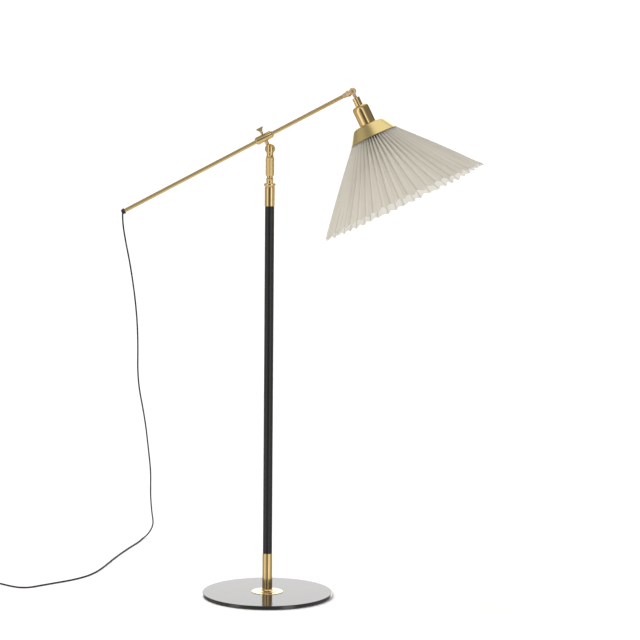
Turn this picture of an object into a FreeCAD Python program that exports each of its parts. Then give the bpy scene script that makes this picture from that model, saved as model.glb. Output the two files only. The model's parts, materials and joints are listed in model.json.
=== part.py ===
"""Bridge floor lamp: a round foot, a black column between brass ferrules, a telescoping mast with a
turning and tilting clamp, a brass arm that slides in the clamp, and a pleated conical shade on a
socket that hinges at the arm's end. Millimetres, +Z up, origin at the middle of the foot's underside;
the arm lies in the XZ plane with the shade towards +X."""

import FreeCAD, Part
import math
import os
from FreeCAD import Placement, Rotation, Vector

# ---------------------------------------------------------------- foot
PAD_T = 1.0
PAD_R = 139.0
PLATE_R = 145.0
PLATE_T = 8.0
PLATE_EDGE = 1.2
RECESS_R = 17.0
RECESS_DEPTH = 5.6
BOLT_R = 5.0
BOLT_HOLE_R = 5.3
BOLT_HEAD_R = 9.8
BOLT_HEAD_T = 3.8
BOLT_LENGTH = 30.0
WASHER_R = 15.0
WASHER_T = 1.4
FLANGE_R = 35.0
FLANGE_EDGE_T = 0.9
FLANGE_STEP_R = 22.3
FLANGE_STEP_T = 2.2
FLANGE_STEP_EDGE_T = 1.4
FLANGE_STEP_BEVEL = 1.2
FLANGE_NECK_T = 6.0
FLANGE_NECK_WALL = 0.9
COVE_SHARE = 0.29

# ---------------------------------------------------------------- column
COLUMN_R = 10.35
COLUMN_WALL = 1.2
COLUMN_TOP = 912.0
FERRULE_WALL = 0.85
LOWER_FERRULE_TOP = 96.0
UPPER_FERRULE_LENGTH = 41.5
FOOT_PLUG_LENGTH = 34.0
BUSH_LENGTH = 42.0
BUSH_WALL = 1.2
BUSH_LIP_T = 1.2
BUSH_LIP_OVERHANG = 0.25
RING_OVERHANG = 2.55
RING_FOOT_OVERHANG = 1.35
RING_H = 7.6
RING_FLARE_H = 3.0
RING_BEVEL = 1.1
RING_GAP = 0.35

# ---------------------------------------------------------------- mast and swivel
MAST_WALL = 1.1
MAST_LENGTH = 337.0
MAST_SHOW = 5.6
SHOE_LENGTH = 24.0
BEAD_R = 8.6
BEAD_H = 6.0
GROOVE_R = 6.8
GROOVE_H = 3.0
SPIGOT_LENGTH = 25.0
SWIVEL_PIN_R = 4.0
SWIVEL_PIN_LENGTH = 24.0
WASHER_DISC_T = 0.8
GRIP_R = 9.3
GRIP_LENGTH = 40.2
GRIP_CHAMFER = 0.9
GRIP_WALL = 1.2
NECK_R = 8.8
WAIST_R = 7.6
WAIST_RISE = 5.5
CHEEK_R = 8.2
CHEEK_RISE = 12.0
BALL_R = 11.4
BALL_RISE = 19.2
SLOT_HALF = 4.6
CROSS_PIN_R = 2.0

# ---------------------------------------------------------------- arm and clamp
ARM_SLOPE = 28.0
ARM_R = 4.45
ARM_WALL = 0.9
ARM_REAR = 346.5
ARM_FRONT = 208.0
STUD_LENGTH = 18.4
BARREL_WALL = 4.0
BARREL_HALF = 20.0
BARREL_CHAMFER = 2.2
BARREL_BORE_GAP = 0.55
COLLAR_WALL = 2.05
COLLAR_LENGTH = 8.0
COLLAR_PROUD = 1.2
STUD_R = 3.3
STUD_SHOULDER_R = 4.2
STUD_SHOULDER_LENGTH = 8.0
STUD_THREAD_R = 2.9
STUD_SEAT = 0.7
SCREW_R = 2.0
KNOB_R = 8.4
KNOB_RIM_T = 2.2
KNOB_OUT = 15.0
KNOB_NECK_R = 2.7
KNOB_NECK_OUT = 1.0
KNOB_BEVEL = 0.5
KNOB_CROWN = 0.6
TRUMPET_SHARE = (0.24, 0.72)
PAD_PIN_T = 0.9
GROMMET_OVERHANG = 1.35
GROMMET_LENGTH = 7.4
GROMMET_LIP_OVERHANG = 2.05
GROMMET_LIP_T = 1.8
GROMMET_ROUND = 1.6
GROMMET_SPIGOT_LENGTH = 10.0
LEAD_R = 1.8
LEAD_IN_GROMMET = 3.4

# ---------------------------------------------------------------- elbow and head
ELBOW_BALL_R = 7.4
ELBOW_SLEEVE_WALL = 1.15
ELBOW_SLEEVE_TIP = 0.4
ELBOW_SLEEVE_LENGTH = 13.0
PIVOT_OUT = 10.5
TONGUE_R = 6.0
TONGUE_HALF = 2.1
TONGUE_NECK = 4.5
FORK_R = 6.4
FORK_CHEEK_T = 3.1
FORK_GAP = 0.3
STEM_R = 3.7
PIVOT_SCREW_R = 1.6
PIVOT_HEAD_R = 3.1
PIVOT_HEAD_T = 1.1
HEAD_TILT = 25.6
# The elbow and the head rest turned a little round the arm, so the shade's near rim stands higher.
HEAD_ROLL = -4.7
NECK_CUP_TOP = 16.0
NECK_CUP_R = 8.5
NECK_CUP_RIM_R = 9.4
NECK_CUP_RIM_T = 1.0
NECK_CUP_WALL = 0.8
CUP_TOP = 34.5
CUP_BOTTOM = 78.6
CUP_R = 18.9
CUP_WALL = 0.9
CUP_ROUND = 6.5
STEM_NUT_T = 4.0
STRAP_T = 1.2
HOLDER_GAP = 1.2
HOLDER_BORE_GAP = 0.4
HOLDER_TOP = 48.0
HOLDER_BOTTOM = 98.0
HOLDER_FLOOR_T = 5.0
HOLDER_FLANGE_T = 2.6
SHADE_RING_WALL = 6.15
SHADE_RING_T = 5.0
CROWN_TOP = 80.0
CROWN_OVER_CUP = 16.2
CROWN_BOTTOM = 110.0
CROWN_FLARE = 19.8
CROWN_WALL = 0.8
CROWN_ROUND = 4.5
CARRIER_T = 1.5
CARRIER_WINDOWS = 6

# ---------------------------------------------------------------- pleated shade
PLEATS = 56
PLEAT_WIDTH = 12.2
SHEET_T = 0.6
SHADE_TOP = 102.0
SHADE_RIM = 263.5
SHADE_RIM_R = 193.7
VALLEY_RISE = 5.0

# ---------------------------------------------------------------- bulb
CAP_R = 13.1
CAP_LENGTH = 25.0
BULB_R = 30.0
BULB_NECK_R = 14.5
BULB_LENGTH = 80.0
BULB_WALL = 0.9

# ---------------------------------------------------------------- cord and plug
CORD_R = 1.8
COIL_MEAN_R = 18.0
COIL_WIDE = 2
COIL_HIGH = 3
COIL_CENTRE = Vector(-653.0, 121.0, 0)
PLUG_LENGTH = 34.0
PLUG_WIDTH = 16.0
PLUG_THICK = 13.0
PLUG_RELIEF_LENGTH = 20.0
PLUG_RELIEF_R = 3.4
RELIEF_TIP_R = 2.4
PLUG_PIN_R = 2.0
PLUG_PIN_LENGTH = 19.0
PLUG_PIN_HALF_PITCH = 5.6

SLIP = 0.1          # running clearance of a sliding or turning fit, on the radius
SEAT = 0.05         # clearance of pieces that stay together, on the radius
AIR = 0.35          # gap between pieces that move past each other

FOOT_TOP = PAD_T + PLATE_T
FERRULE_R = COLUMN_R + SEAT + FERRULE_WALL
COLUMN_BORE_R = COLUMN_R - COLUMN_WALL
MAST_R = COLUMN_BORE_R - SEAT - BUSH_WALL - SLIP
SHANK_R = GRIP_R - GRIP_WALL - SLIP
RING_BOTTOM = COLUMN_TOP + BUSH_LIP_T + RING_GAP
MAST_TOP = RING_BOTTOM + RING_H + MAST_SHOW
CAP_TOP = MAST_TOP + BEAD_H + GROOVE_H
YOKE_BOTTOM = CAP_TOP + WASHER_DISC_T
GRIP_BOTTOM = YOKE_BOTTOM + AIR
GRIP_TOP = GRIP_BOTTOM + GRIP_LENGTH
BALL = Vector(0, 0, GRIP_TOP + BALL_RISE)


def direction(angle):
    """Unit vector in the XZ plane, angle degrees above +X."""
    return Vector(math.cos(math.radians(angle)), 0, math.sin(math.radians(angle)))


BARREL_BORE_R = ARM_R + BARREL_BORE_GAP
BARREL_R = BARREL_BORE_R + BARREL_WALL
COLLAR_R = ARM_R + SLIP + COLLAR_WALL
ARM_DIR = direction(ARM_SLOPE)
ARM_OVER_BALL = BARREL_R + STUD_LENGTH
CLAMP = BALL + direction(ARM_SLOPE + 90) * ARM_OVER_BALL
PIVOT = CLAMP + ARM_DIR * (ARM_FRONT + PIVOT_OUT)
ARM_FRAME = Placement(CLAMP, Rotation(Vector(0, 1, 0), 90 - ARM_SLOPE))
ELBOW_FRAME = ARM_FRAME * Placement(Vector(0, 0, 0), Rotation(Vector(0, 0, 1), HEAD_ROLL))
HEAD_FRAME = Placement(PIVOT, Rotation(ARM_DIR, HEAD_ROLL) * Rotation(Vector(0, 1, 0), -HEAD_TILT))
HOLDER_R = CUP_R - CUP_WALL - HOLDER_GAP
HOLDER_BORE_R = CAP_R + HOLDER_BORE_GAP
SHADE_RING_R = HOLDER_R + SEAT + SHADE_RING_WALL
CROWN_TOP_R = CUP_R + CROWN_OVER_CUP
CROWN_BOTTOM_R = CROWN_TOP_R + CROWN_FLARE
STEM_END = -CUP_TOP - CUP_WALL - STEM_NUT_T
CAP_DEPTH = HOLDER_BOTTOM - CAP_LENGTH + AIR


# ================================================================ helpers
def lathe(profile):
    """Solid turned about Z from closed (radius, height) corners."""
    corners = [Vector(r, 0, z) for r, z in profile]
    face = Part.Face(Part.makePolygon(corners + corners[:1]))
    return face.revolve(Vector(0, 0, 0), Vector(0, 0, 1), 360)


def turned(edges):
    """Solid turned about Z from edges in the XZ plane that close a loop."""
    return Part.Face(Part.Wire(edges)).revolve(Vector(0, 0, 0), Vector(0, 0, 1), 360)


def line(a, b):
    return Part.makeLine(Vector(a[0], 0, a[1]), Vector(b[0], 0, b[1]))


def arc(a, middle, b):
    return Part.Arc(*[Vector(p[0], 0, p[1]) for p in (a, middle, b)]).toShape()


def tube(outer, inner, bottom, top):
    return lathe([(inner, bottom), (outer, bottom), (outer, top), (inner, top)])


def rod(radius, bottom, top):
    return Part.makeCylinder(radius, top - bottom, Vector(0, 0, bottom))


def cross_rod(radius, half_length):
    """Rod along Y, centred on the origin."""
    return Part.makeCylinder(radius, 2 * half_length, Vector(0, -half_length, 0), Vector(0, 1, 0))


def box(low, high):
    size = [b - a for a, b in zip(low, high)]
    return Part.makeBox(*size, Vector(*low))


def ring_edges(shape, radius, height):
    """The circular edges of that radius at that height."""
    return [
        e
        for e in shape.Edges
        if isinstance(e.Curve, Part.Circle)
        and abs(e.Curve.Radius - radius) < 1e-4
        and abs(e.Curve.Center.z - height) < 1e-4
    ]


def placed(shape, frame):
    shape = shape.copy()
    shape.Placement = frame.multiply(shape.Placement)
    return shape


def toward_x(shape):
    """Turns a shape made along +Z so that it points along +X."""
    return placed(shape, Placement(Vector(0, 0, 0), Rotation(Vector(0, 1, 0), 90)))


# ================================================================ foot
def foot_pad():
    return rod(PAD_R, 0, PAD_T)


def foot_plate():
    plate = rod(PLATE_R, PAD_T, FOOT_TOP)
    plate = plate.makeFillet(
        PLATE_EDGE, ring_edges(plate, PLATE_R, PAD_T) + ring_edges(plate, PLATE_R, FOOT_TOP)
    )
    recess = rod(RECESS_R, PAD_T, PAD_T + RECESS_DEPTH)
    return plate.cut(recess).cut(rod(BOLT_HOLE_R, PAD_T, FOOT_TOP))


def foot_washer():
    top = PAD_T + RECESS_DEPTH
    return tube(WASHER_R, BOLT_HOLE_R, top - WASHER_T, top)


def foot_bolt():
    seat = PAD_T + RECESS_DEPTH - WASHER_T
    corners = [
        Vector(
            BOLT_HEAD_R * math.cos(math.radians(60 * i)),
            BOLT_HEAD_R * math.sin(math.radians(60 * i)),
            seat - BOLT_HEAD_T,
        )
        for i in range(7)
    ]
    head = Part.Face(Part.makePolygon(corners)).extrude(Vector(0, 0, BOLT_HEAD_T))
    return head.fuse(rod(BOLT_R, seat, seat + BOLT_LENGTH)).removeSplitter()


def foot_flange():
    """Thin disc that steps up and sweeps in a cove to the ferrule."""
    bore = FERRULE_R + SEAT
    neck = bore + FLANGE_NECK_WALL
    rim = FOOT_TOP + FLANGE_EDGE_T
    step_edge = FOOT_TOP + FLANGE_STEP_EDGE_T
    step = FOOT_TOP + FLANGE_STEP_T
    neck_top = FOOT_TOP + FLANGE_NECK_T
    foot = FLANGE_STEP_R - FLANGE_STEP_BEVEL
    cove = (neck + COVE_SHARE * (foot - neck), step + COVE_SHARE * (neck_top - step))
    return turned(
        [
            line((bore, FOOT_TOP), (FLANGE_R, FOOT_TOP)),
            line((FLANGE_R, FOOT_TOP), (FLANGE_R, rim)),
            line((FLANGE_R, rim), (FLANGE_STEP_R, step_edge)),
            line((FLANGE_STEP_R, step_edge), (foot, step)),
            arc((foot, step), cove, (neck, neck_top)),
            line((neck, neck_top), (bore, neck_top)),
            line((bore, neck_top), (bore, FOOT_TOP)),
        ]
    )


# ================================================================ column
def lower_ferrule():
    return tube(FERRULE_R, COLUMN_R + SEAT, FOOT_TOP, LOWER_FERRULE_TOP)


def column_tube():
    return tube(COLUMN_R, COLUMN_BORE_R, FOOT_TOP, COLUMN_TOP)


def column_plug():
    plug = rod(COLUMN_BORE_R - SEAT, FOOT_TOP, FOOT_TOP + FOOT_PLUG_LENGTH)
    return plug.cut(rod(BOLT_R + SEAT, FOOT_TOP, FOOT_TOP + FOOT_PLUG_LENGTH))


def upper_ferrule():
    return tube(FERRULE_R, COLUMN_R + SEAT, COLUMN_TOP - UPPER_FERRULE_LENGTH, COLUMN_TOP)


def guide_bush():
    bore = MAST_R + SLIP
    lip_r = COLUMN_R + BUSH_LIP_OVERHANG
    return lathe(
        [
            (bore, COLUMN_TOP - BUSH_LENGTH),
            (COLUMN_BORE_R - SEAT, COLUMN_TOP - BUSH_LENGTH),
            (COLUMN_BORE_R - SEAT, COLUMN_TOP),
            (lip_r, COLUMN_TOP),
            (lip_r, COLUMN_TOP + BUSH_LIP_T),
            (bore, COLUMN_TOP + BUSH_LIP_T),
        ]
    )


def height_ring():
    """Flared lock ring that pinches the mast."""
    bore = MAST_R + 2 * SLIP
    outer = COLUMN_R + RING_OVERHANG
    return lathe(
        [
            (bore, RING_BOTTOM),
            (COLUMN_R + RING_FOOT_OVERHANG, RING_BOTTOM),
            (outer, RING_BOTTOM + RING_FLARE_H),
            (outer, RING_BOTTOM + RING_H - RING_BEVEL),
            (outer - RING_BEVEL, RING_BOTTOM + RING_H),
            (bore, RING_BOTTOM + RING_H),
        ]
    )


# ================================================================ mast
def mast_tube():
    return tube(MAST_R, MAST_R - MAST_WALL, MAST_TOP - MAST_LENGTH, MAST_TOP)


def mast_shoe():
    """Sliding shoe on the mast's lower end, with a spigot up into the tube."""
    bottom = MAST_TOP - MAST_LENGTH
    spigot = MAST_R - MAST_WALL - SEAT
    return lathe(
        [
            (0, bottom - SHOE_LENGTH),
            (COLUMN_BORE_R - SLIP, bottom - SHOE_LENGTH),
            (COLUMN_BORE_R - SLIP, bottom),
            (spigot, bottom),
            (spigot, bottom + SHOE_LENGTH / 2),
            (0, bottom + SHOE_LENGTH / 2),
        ]
    )


def mast_cap():
    """Turned end of the mast: spigot, bead, groove and the pin that the swivel turns on."""
    spigot = MAST_R - MAST_WALL - SEAT
    bead_top = MAST_TOP + BEAD_H
    return turned(
        [
            line((0, MAST_TOP - SPIGOT_LENGTH), (spigot, MAST_TOP - SPIGOT_LENGTH)),
            line((spigot, MAST_TOP - SPIGOT_LENGTH), (spigot, MAST_TOP)),
            line((spigot, MAST_TOP), (MAST_R - 0.3, MAST_TOP)),
            arc(
                (MAST_R - 0.3, MAST_TOP),
                (BEAD_R, MAST_TOP + BEAD_H / 2),
                (GROOVE_R, bead_top),
            ),
            line((GROOVE_R, bead_top), (GROOVE_R, CAP_TOP)),
            line((GROOVE_R, CAP_TOP), (SWIVEL_PIN_R, CAP_TOP)),
            line((SWIVEL_PIN_R, CAP_TOP), (SWIVEL_PIN_R, CAP_TOP + SWIVEL_PIN_LENGTH)),
            line((SWIVEL_PIN_R, CAP_TOP + SWIVEL_PIN_LENGTH), (0, CAP_TOP + SWIVEL_PIN_LENGTH)),
            line((0, CAP_TOP + SWIVEL_PIN_LENGTH), (0, MAST_TOP - SPIGOT_LENGTH)),
        ]
    )


# ================================================================ swivel
def swivel_washer():
    return tube(GROOVE_R + 0.6, SWIVEL_PIN_R + SLIP, CAP_TOP, YOKE_BOTTOM)


def yoke():
    """Shank inside the grip, waisted neck, and two cheeks that are what a slot leaves of a rod."""
    waist = GRIP_TOP + WAIST_RISE
    cheek = GRIP_TOP + CHEEK_RISE
    body = turned(
        [
            line((0, YOKE_BOTTOM), (SHANK_R, YOKE_BOTTOM)),
            line((SHANK_R, YOKE_BOTTOM), (SHANK_R, GRIP_TOP + AIR)),
            line((SHANK_R, GRIP_TOP + AIR), (NECK_R, GRIP_TOP + AIR)),
            arc((NECK_R, GRIP_TOP + AIR), (WAIST_R, waist), (CHEEK_R, cheek)),
            line((CHEEK_R, cheek), (CHEEK_R, BALL.z + BALL_R)),
            line((CHEEK_R, BALL.z + BALL_R), (0, BALL.z + BALL_R)),
            line((0, BALL.z + BALL_R), (0, YOKE_BOTTOM)),
        ]
    )
    above = box((-20, -20, BALL.z), (20, 20, BALL.z + 20))
    body = body.cut(above.cut(Part.makeSphere(BALL_R + AIR, BALL)))
    room = Part.makeSphere(BALL_R + AIR, BALL).common(
        box((-20, -SLOT_HALF, BALL.z - 20), (20, SLOT_HALF, BALL.z))
    )
    slot = box((-20, -SLOT_HALF, BALL.z), (20, SLOT_HALF, BALL.z + 20))
    pin_hole = rod(SWIVEL_PIN_R + SLIP, YOKE_BOTTOM, CAP_TOP + SWIVEL_PIN_LENGTH + AIR)
    body = body.cut(room).cut(slot).cut(pin_hole)
    return body.cut(placed(cross_rod(CROSS_PIN_R + SEAT, 20), Placement(BALL, Rotation())))


def cross_pin():
    pin = cross_rod(CROSS_PIN_R, CHEEK_R - 0.1)
    return placed(pin, Placement(BALL, Rotation()))


def grip():
    sleeve = tube(GRIP_R, SHANK_R + SLIP, GRIP_BOTTOM, GRIP_TOP)
    rims = ring_edges(sleeve, GRIP_R, GRIP_BOTTOM) + ring_edges(sleeve, GRIP_R, GRIP_TOP)
    return sleeve.makeChamfer(GRIP_CHAMFER, rims)


# ================================================================ tilting clamp
# Made in the arm's frame: +Z along the arm towards the shade, +X from the clamp to the ball.
def clamp_stud():
    """Ball flattened between the cheeks, with a shouldered stud screwed into the barrel."""
    centre = Vector(ARM_OVER_BALL, 0, 0)
    half = SLOT_HALF - 2 * SLIP
    ball = Part.makeSphere(BALL_R, centre).common(
        box((0, -half, -20), (ARM_OVER_BALL + 20, half, 20))
    )
    seat = BARREL_R - STUD_SEAT
    stud = toward_x(
        lathe(
            [
                (0, BARREL_BORE_R + AIR),
                (STUD_THREAD_R, BARREL_BORE_R + AIR),
                (STUD_THREAD_R, seat),
                (STUD_SHOULDER_R, seat),
                (STUD_SHOULDER_R, seat + STUD_SHOULDER_LENGTH - 1),
                (STUD_R, seat + STUD_SHOULDER_LENGTH),
                (STUD_R, ARM_OVER_BALL - BALL_R / 2),
                (0, ARM_OVER_BALL - BALL_R / 2),
            ]
        )
    )
    hole = placed(cross_rod(CROSS_PIN_R + SLIP, 20), Placement(centre, Rotation()))
    return placed(ball.fuse(stud).cut(hole), ARM_FRAME)


def clamp_barrel():
    body = rod(BARREL_R, -BARREL_HALF, BARREL_HALF)
    ends = ring_edges(body, BARREL_R, -BARREL_HALF) + ring_edges(body, BARREL_R, BARREL_HALF)
    body = body.makeChamfer(BARREL_CHAMFER, ends)
    pocket = COLLAR_LENGTH - COLLAR_PROUD
    body = body.cut(rod(BARREL_BORE_R, -BARREL_HALF, BARREL_HALF))
    body = body.cut(rod(COLLAR_R + SEAT, -BARREL_HALF, pocket - BARREL_HALF))
    body = body.cut(rod(COLLAR_R + SEAT, BARREL_HALF - pocket, BARREL_HALF))
    stud_hole = toward_x(rod(STUD_THREAD_R + SEAT, 0, BARREL_R))
    stud_seat = toward_x(rod(STUD_SHOULDER_R + SEAT, BARREL_R - STUD_SEAT, BARREL_R + 1))
    screw_hole = toward_x(rod(SCREW_R + SLIP, -BARREL_R, 0))
    return placed(body.cut(stud_hole).cut(stud_seat).cut(screw_hole), ARM_FRAME)


def clamp_collar(side):
    """Bearing collar in one end of the barrel; side is -1 at the rear, 1 at the front."""
    inner = side * (BARREL_HALF + COLLAR_PROUD - COLLAR_LENGTH)
    outer = side * (BARREL_HALF + COLLAR_PROUD)
    bottom, top = sorted((inner, outer))
    return placed(tube(COLLAR_R, ARM_R + SLIP, bottom, top), ARM_FRAME)


def pressure_pad():
    tip = ARM_R + AIR
    pad = toward_x(rod(SCREW_R, -tip - PAD_PIN_T, -tip))
    return placed(pad, ARM_FRAME)


def thumbscrew():
    """Screw whose neck sweeps out like a trumpet to a thin round head."""
    tip = ARM_R + AIR + PAD_PIN_T + SEAT
    face = BARREL_R + KNOB_OUT
    rim = face - KNOB_RIM_T
    neck = BARREL_R + KNOB_NECK_OUT
    bend = (
        KNOB_NECK_R + TRUMPET_SHARE[0] * (KNOB_R - KNOB_NECK_R),
        neck + TRUMPET_SHARE[1] * (rim - neck),
    )
    screw = turned(
        [
            line((0, tip), (SCREW_R, tip)),
            line((SCREW_R, tip), (SCREW_R, neck)),
            line((SCREW_R, neck), (KNOB_NECK_R, neck)),
            arc((KNOB_NECK_R, neck), bend, (KNOB_R, rim)),
            line((KNOB_R, rim), (KNOB_R, face - KNOB_BEVEL)),
            line((KNOB_R, face - KNOB_BEVEL), (KNOB_R - KNOB_BEVEL, face)),
            line((KNOB_R - KNOB_BEVEL, face), (0, face + KNOB_CROWN)),
            line((0, face + KNOB_CROWN), (0, tip)),
        ]
    )
    turn = Placement(Vector(0, 0, 0), Rotation(Vector(0, 1, 0), -90))
    return placed(placed(screw, turn), ARM_FRAME)


# ================================================================ arm
def arm_tube():
    pipe = tube(ARM_R, ARM_R - ARM_WALL, -ARM_REAR, ARM_FRONT - ELBOW_BALL_R / 2)
    return placed(pipe, ARM_FRAME)


def cord_grommet():
    """Plug in the arm's rear end, with a lip on the tube and a hole that points at the floor."""
    back = -ARM_REAR - GROMMET_LENGTH
    body_r = ARM_R + GROMMET_OVERHANG
    lip_r = ARM_R + GROMMET_LIP_OVERHANG
    spigot = ARM_R - ARM_WALL - SEAT
    front = -ARM_REAR + GROMMET_SPIGOT_LENGTH
    body = lathe(
        [
            (0, back),
            (body_r - GROMMET_ROUND, back),
            (body_r, back + GROMMET_ROUND),
            (body_r, -ARM_REAR - GROMMET_LIP_T),
            (lip_r, -ARM_REAR - GROMMET_LIP_T),
            (lip_r, -ARM_REAR),
            (spigot, -ARM_REAR),
            (spigot, front),
            (0, front),
        ]
    )
    body = body.cut(rod(LEAD_R + SEAT, -ARM_REAR - LEAD_IN_GROMMET, front))
    start = Vector(*CORD_ROUTE[0])
    outlet = Part.makeCylinder(
        CORD_R + AIR, 2 * body_r, start + Vector(0, 0, AIR), Vector(0, 0, -1)
    )
    return placed(body, ARM_FRAME).cut(outlet)


def arm_lead():
    """The flex inside the arm, from the grommet to the elbow."""
    flex = rod(LEAD_R, -ARM_REAR - LEAD_IN_GROMMET, ARM_FRONT - ELBOW_SLEEVE_LENGTH)
    return placed(flex, ARM_FRAME)


def elbow_ball():
    """Ball on the arm's end with a collar round the tube and a tongue for the head's fork."""
    centre = Vector(0, 0, ARM_FRONT)
    sleeve_start = ARM_FRONT - ELBOW_SLEEVE_LENGTH
    sleeve = lathe(
        [
            (0, sleeve_start),
            (ARM_R + ELBOW_SLEEVE_TIP, sleeve_start),
            (ARM_R + ELBOW_SLEEVE_WALL, ARM_FRONT - ELBOW_BALL_R + 1),
            (ARM_R + ELBOW_SLEEVE_WALL, ARM_FRONT),
            (0, ARM_FRONT),
        ]
    )
    body = Part.makeSphere(ELBOW_BALL_R, centre).fuse(sleeve)
    fork_room = placed(
        cross_rod(FORK_R + AIR, 20), Placement(Vector(0, 0, ARM_FRONT + PIVOT_OUT), Rotation())
    )
    tongue = placed(
        cross_rod(TONGUE_R, TONGUE_HALF), Placement(Vector(0, 0, ARM_FRONT + PIVOT_OUT), Rotation())
    )
    web = box(
        (-TONGUE_NECK, -TONGUE_HALF, ARM_FRONT), (TONGUE_NECK, TONGUE_HALF, ARM_FRONT + PIVOT_OUT)
    )
    body = body.cut(fork_room).fuse([tongue, web])
    body = body.cut(rod(ARM_R + SEAT, sleeve_start - 1, ARM_FRONT - ELBOW_BALL_R / 2))
    hole = placed(
        cross_rod(PIVOT_SCREW_R + SLIP, 20), Placement(Vector(0, 0, ARM_FRONT + PIVOT_OUT), Rotation())
    )
    return placed(body.cut(hole).removeSplitter(), ELBOW_FRAME)


# ================================================================ head
# Made hanging straight down from the pivot at the origin, then tilted: depths are below the pivot.
def head_fork():
    """Two round cheeks either side of the tongue, on a stem that runs down into the socket cup."""
    inner = TONGUE_HALF + FORK_GAP
    outer = inner + FORK_CHEEK_T
    discs = cross_rod(FORK_R, outer)
    bridge = box((-STEM_R, -outer, -FORK_R - 5.5), (STEM_R, outer, 0))
    gap = cross_rod(FORK_R + AIR, inner).fuse(box((-8, -inner, -1), (8, inner, 8)))
    body = discs.fuse(bridge).cut(gap)
    stem = rod(STEM_R, STEM_END, -FORK_R - 3.5)
    body = body.fuse(stem).cut(cross_rod(PIVOT_SCREW_R + SEAT, 20))
    return placed(body.removeSplitter(), HEAD_FRAME)


def pivot_screw():
    outer = TONGUE_HALF + FORK_GAP + FORK_CHEEK_T
    body = cross_rod(PIVOT_SCREW_R, outer)
    for side in (-1, 1):
        start = Vector(0, side * outer, 0)
        head = Part.makeCylinder(PIVOT_HEAD_R, PIVOT_HEAD_T, start, Vector(0, side, 0))
        body = body.fuse(head)
    slot = box((-PIVOT_HEAD_R, -outer - PIVOT_HEAD_T, -0.4), (PIVOT_HEAD_R, -outer - 0.5, 0.4))
    return placed(body.cut(slot), HEAD_FRAME)


def neck_cup():
    """Small open cup round the stem, with a thin rim."""
    bottom = -CUP_TOP
    top = -NECK_CUP_TOP
    inner = NECK_CUP_R - NECK_CUP_WALL
    body = lathe(
        [
            (STEM_R + SEAT, bottom),
            (NECK_CUP_R, bottom),
            (NECK_CUP_R, top - NECK_CUP_RIM_T),
            (NECK_CUP_RIM_R, top - NECK_CUP_RIM_T),
            (NECK_CUP_RIM_R, top),
            (inner, top),
            (inner, bottom + 1.6),
            (STEM_R + SEAT, bottom + 1.6),
        ]
    )
    return placed(body, HEAD_FRAME)


def socket_cup():
    outside = rod(CUP_R, -CUP_BOTTOM, -CUP_TOP)
    outside = outside.makeFillet(CUP_ROUND, ring_edges(outside, CUP_R, -CUP_TOP))
    inner_r = CUP_R - CUP_WALL
    inside = rod(inner_r, -CUP_BOTTOM, -CUP_TOP - CUP_WALL)
    inside = inside.makeFillet(
        CUP_ROUND - CUP_WALL, ring_edges(inside, inner_r, -CUP_TOP - CUP_WALL)
    )
    body = outside.cut(inside).cut(rod(STEM_R + SEAT, -CUP_BOTTOM, 0))
    return placed(body, HEAD_FRAME)


def stem_nut():
    """Nut on the stem's end that pulls the socket cup up against the neck cup."""
    nut = tube(STEM_R + 3.2, STEM_R + SEAT, STEM_END, STEM_END + STEM_NUT_T)
    return placed(nut, HEAD_FRAME)


def lamp_holder():
    """Socket body: closed above, open below for the bulb's cap, with a flange over the crown."""
    flange_r = CUP_R - CUP_WALL - SEAT
    flange_bottom = -CROWN_TOP
    body = lathe(
        [
            (0, -HOLDER_TOP),
            (HOLDER_R - 2.5, -HOLDER_TOP),
            (HOLDER_R, -HOLDER_TOP - 2.5),
            (HOLDER_R, flange_bottom + HOLDER_FLANGE_T + 2.5),
            (flange_r, flange_bottom + HOLDER_FLANGE_T + 2.5),
            (flange_r, flange_bottom),
            (HOLDER_R, flange_bottom),
            (HOLDER_R, -HOLDER_BOTTOM),
            (HOLDER_BORE_R, -HOLDER_BOTTOM),
            (HOLDER_BORE_R, -HOLDER_TOP - HOLDER_FLOOR_T),
            (0, -HOLDER_TOP - HOLDER_FLOOR_T),
        ]
    )
    return placed(body, HEAD_FRAME)


def holder_bridge():
    """Strap that hangs the socket from the stem's nut."""
    half_width = 4.0
    half_span = 10.5
    flat = box((-half_span, -half_width, STEM_END - STRAP_T), (half_span, half_width, STEM_END))
    legs = [
        box((x, -half_width, -HOLDER_TOP), (x + STRAP_T, half_width, STEM_END))
        for x in (-half_span, half_span - STRAP_T)
    ]
    return placed(flat.fuse(legs).removeSplitter(), HEAD_FRAME)


def holder_contact():
    floor = -HOLDER_TOP - HOLDER_FLOOR_T
    plate = box((-6, -2.5, floor - 0.6), (6, 2.5, floor))
    spring = box((-1.6, -2.5, -CAP_DEPTH), (1.6, 2.5, floor - 0.6))
    return placed(plate.fuse(spring).removeSplitter(), HEAD_FRAME)


def crown_radius(depth):
    share = (depth - CROWN_TOP) / (CROWN_BOTTOM - CROWN_TOP)
    return CROWN_TOP_R + share * (CROWN_BOTTOM_R - CROWN_TOP_R)


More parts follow.
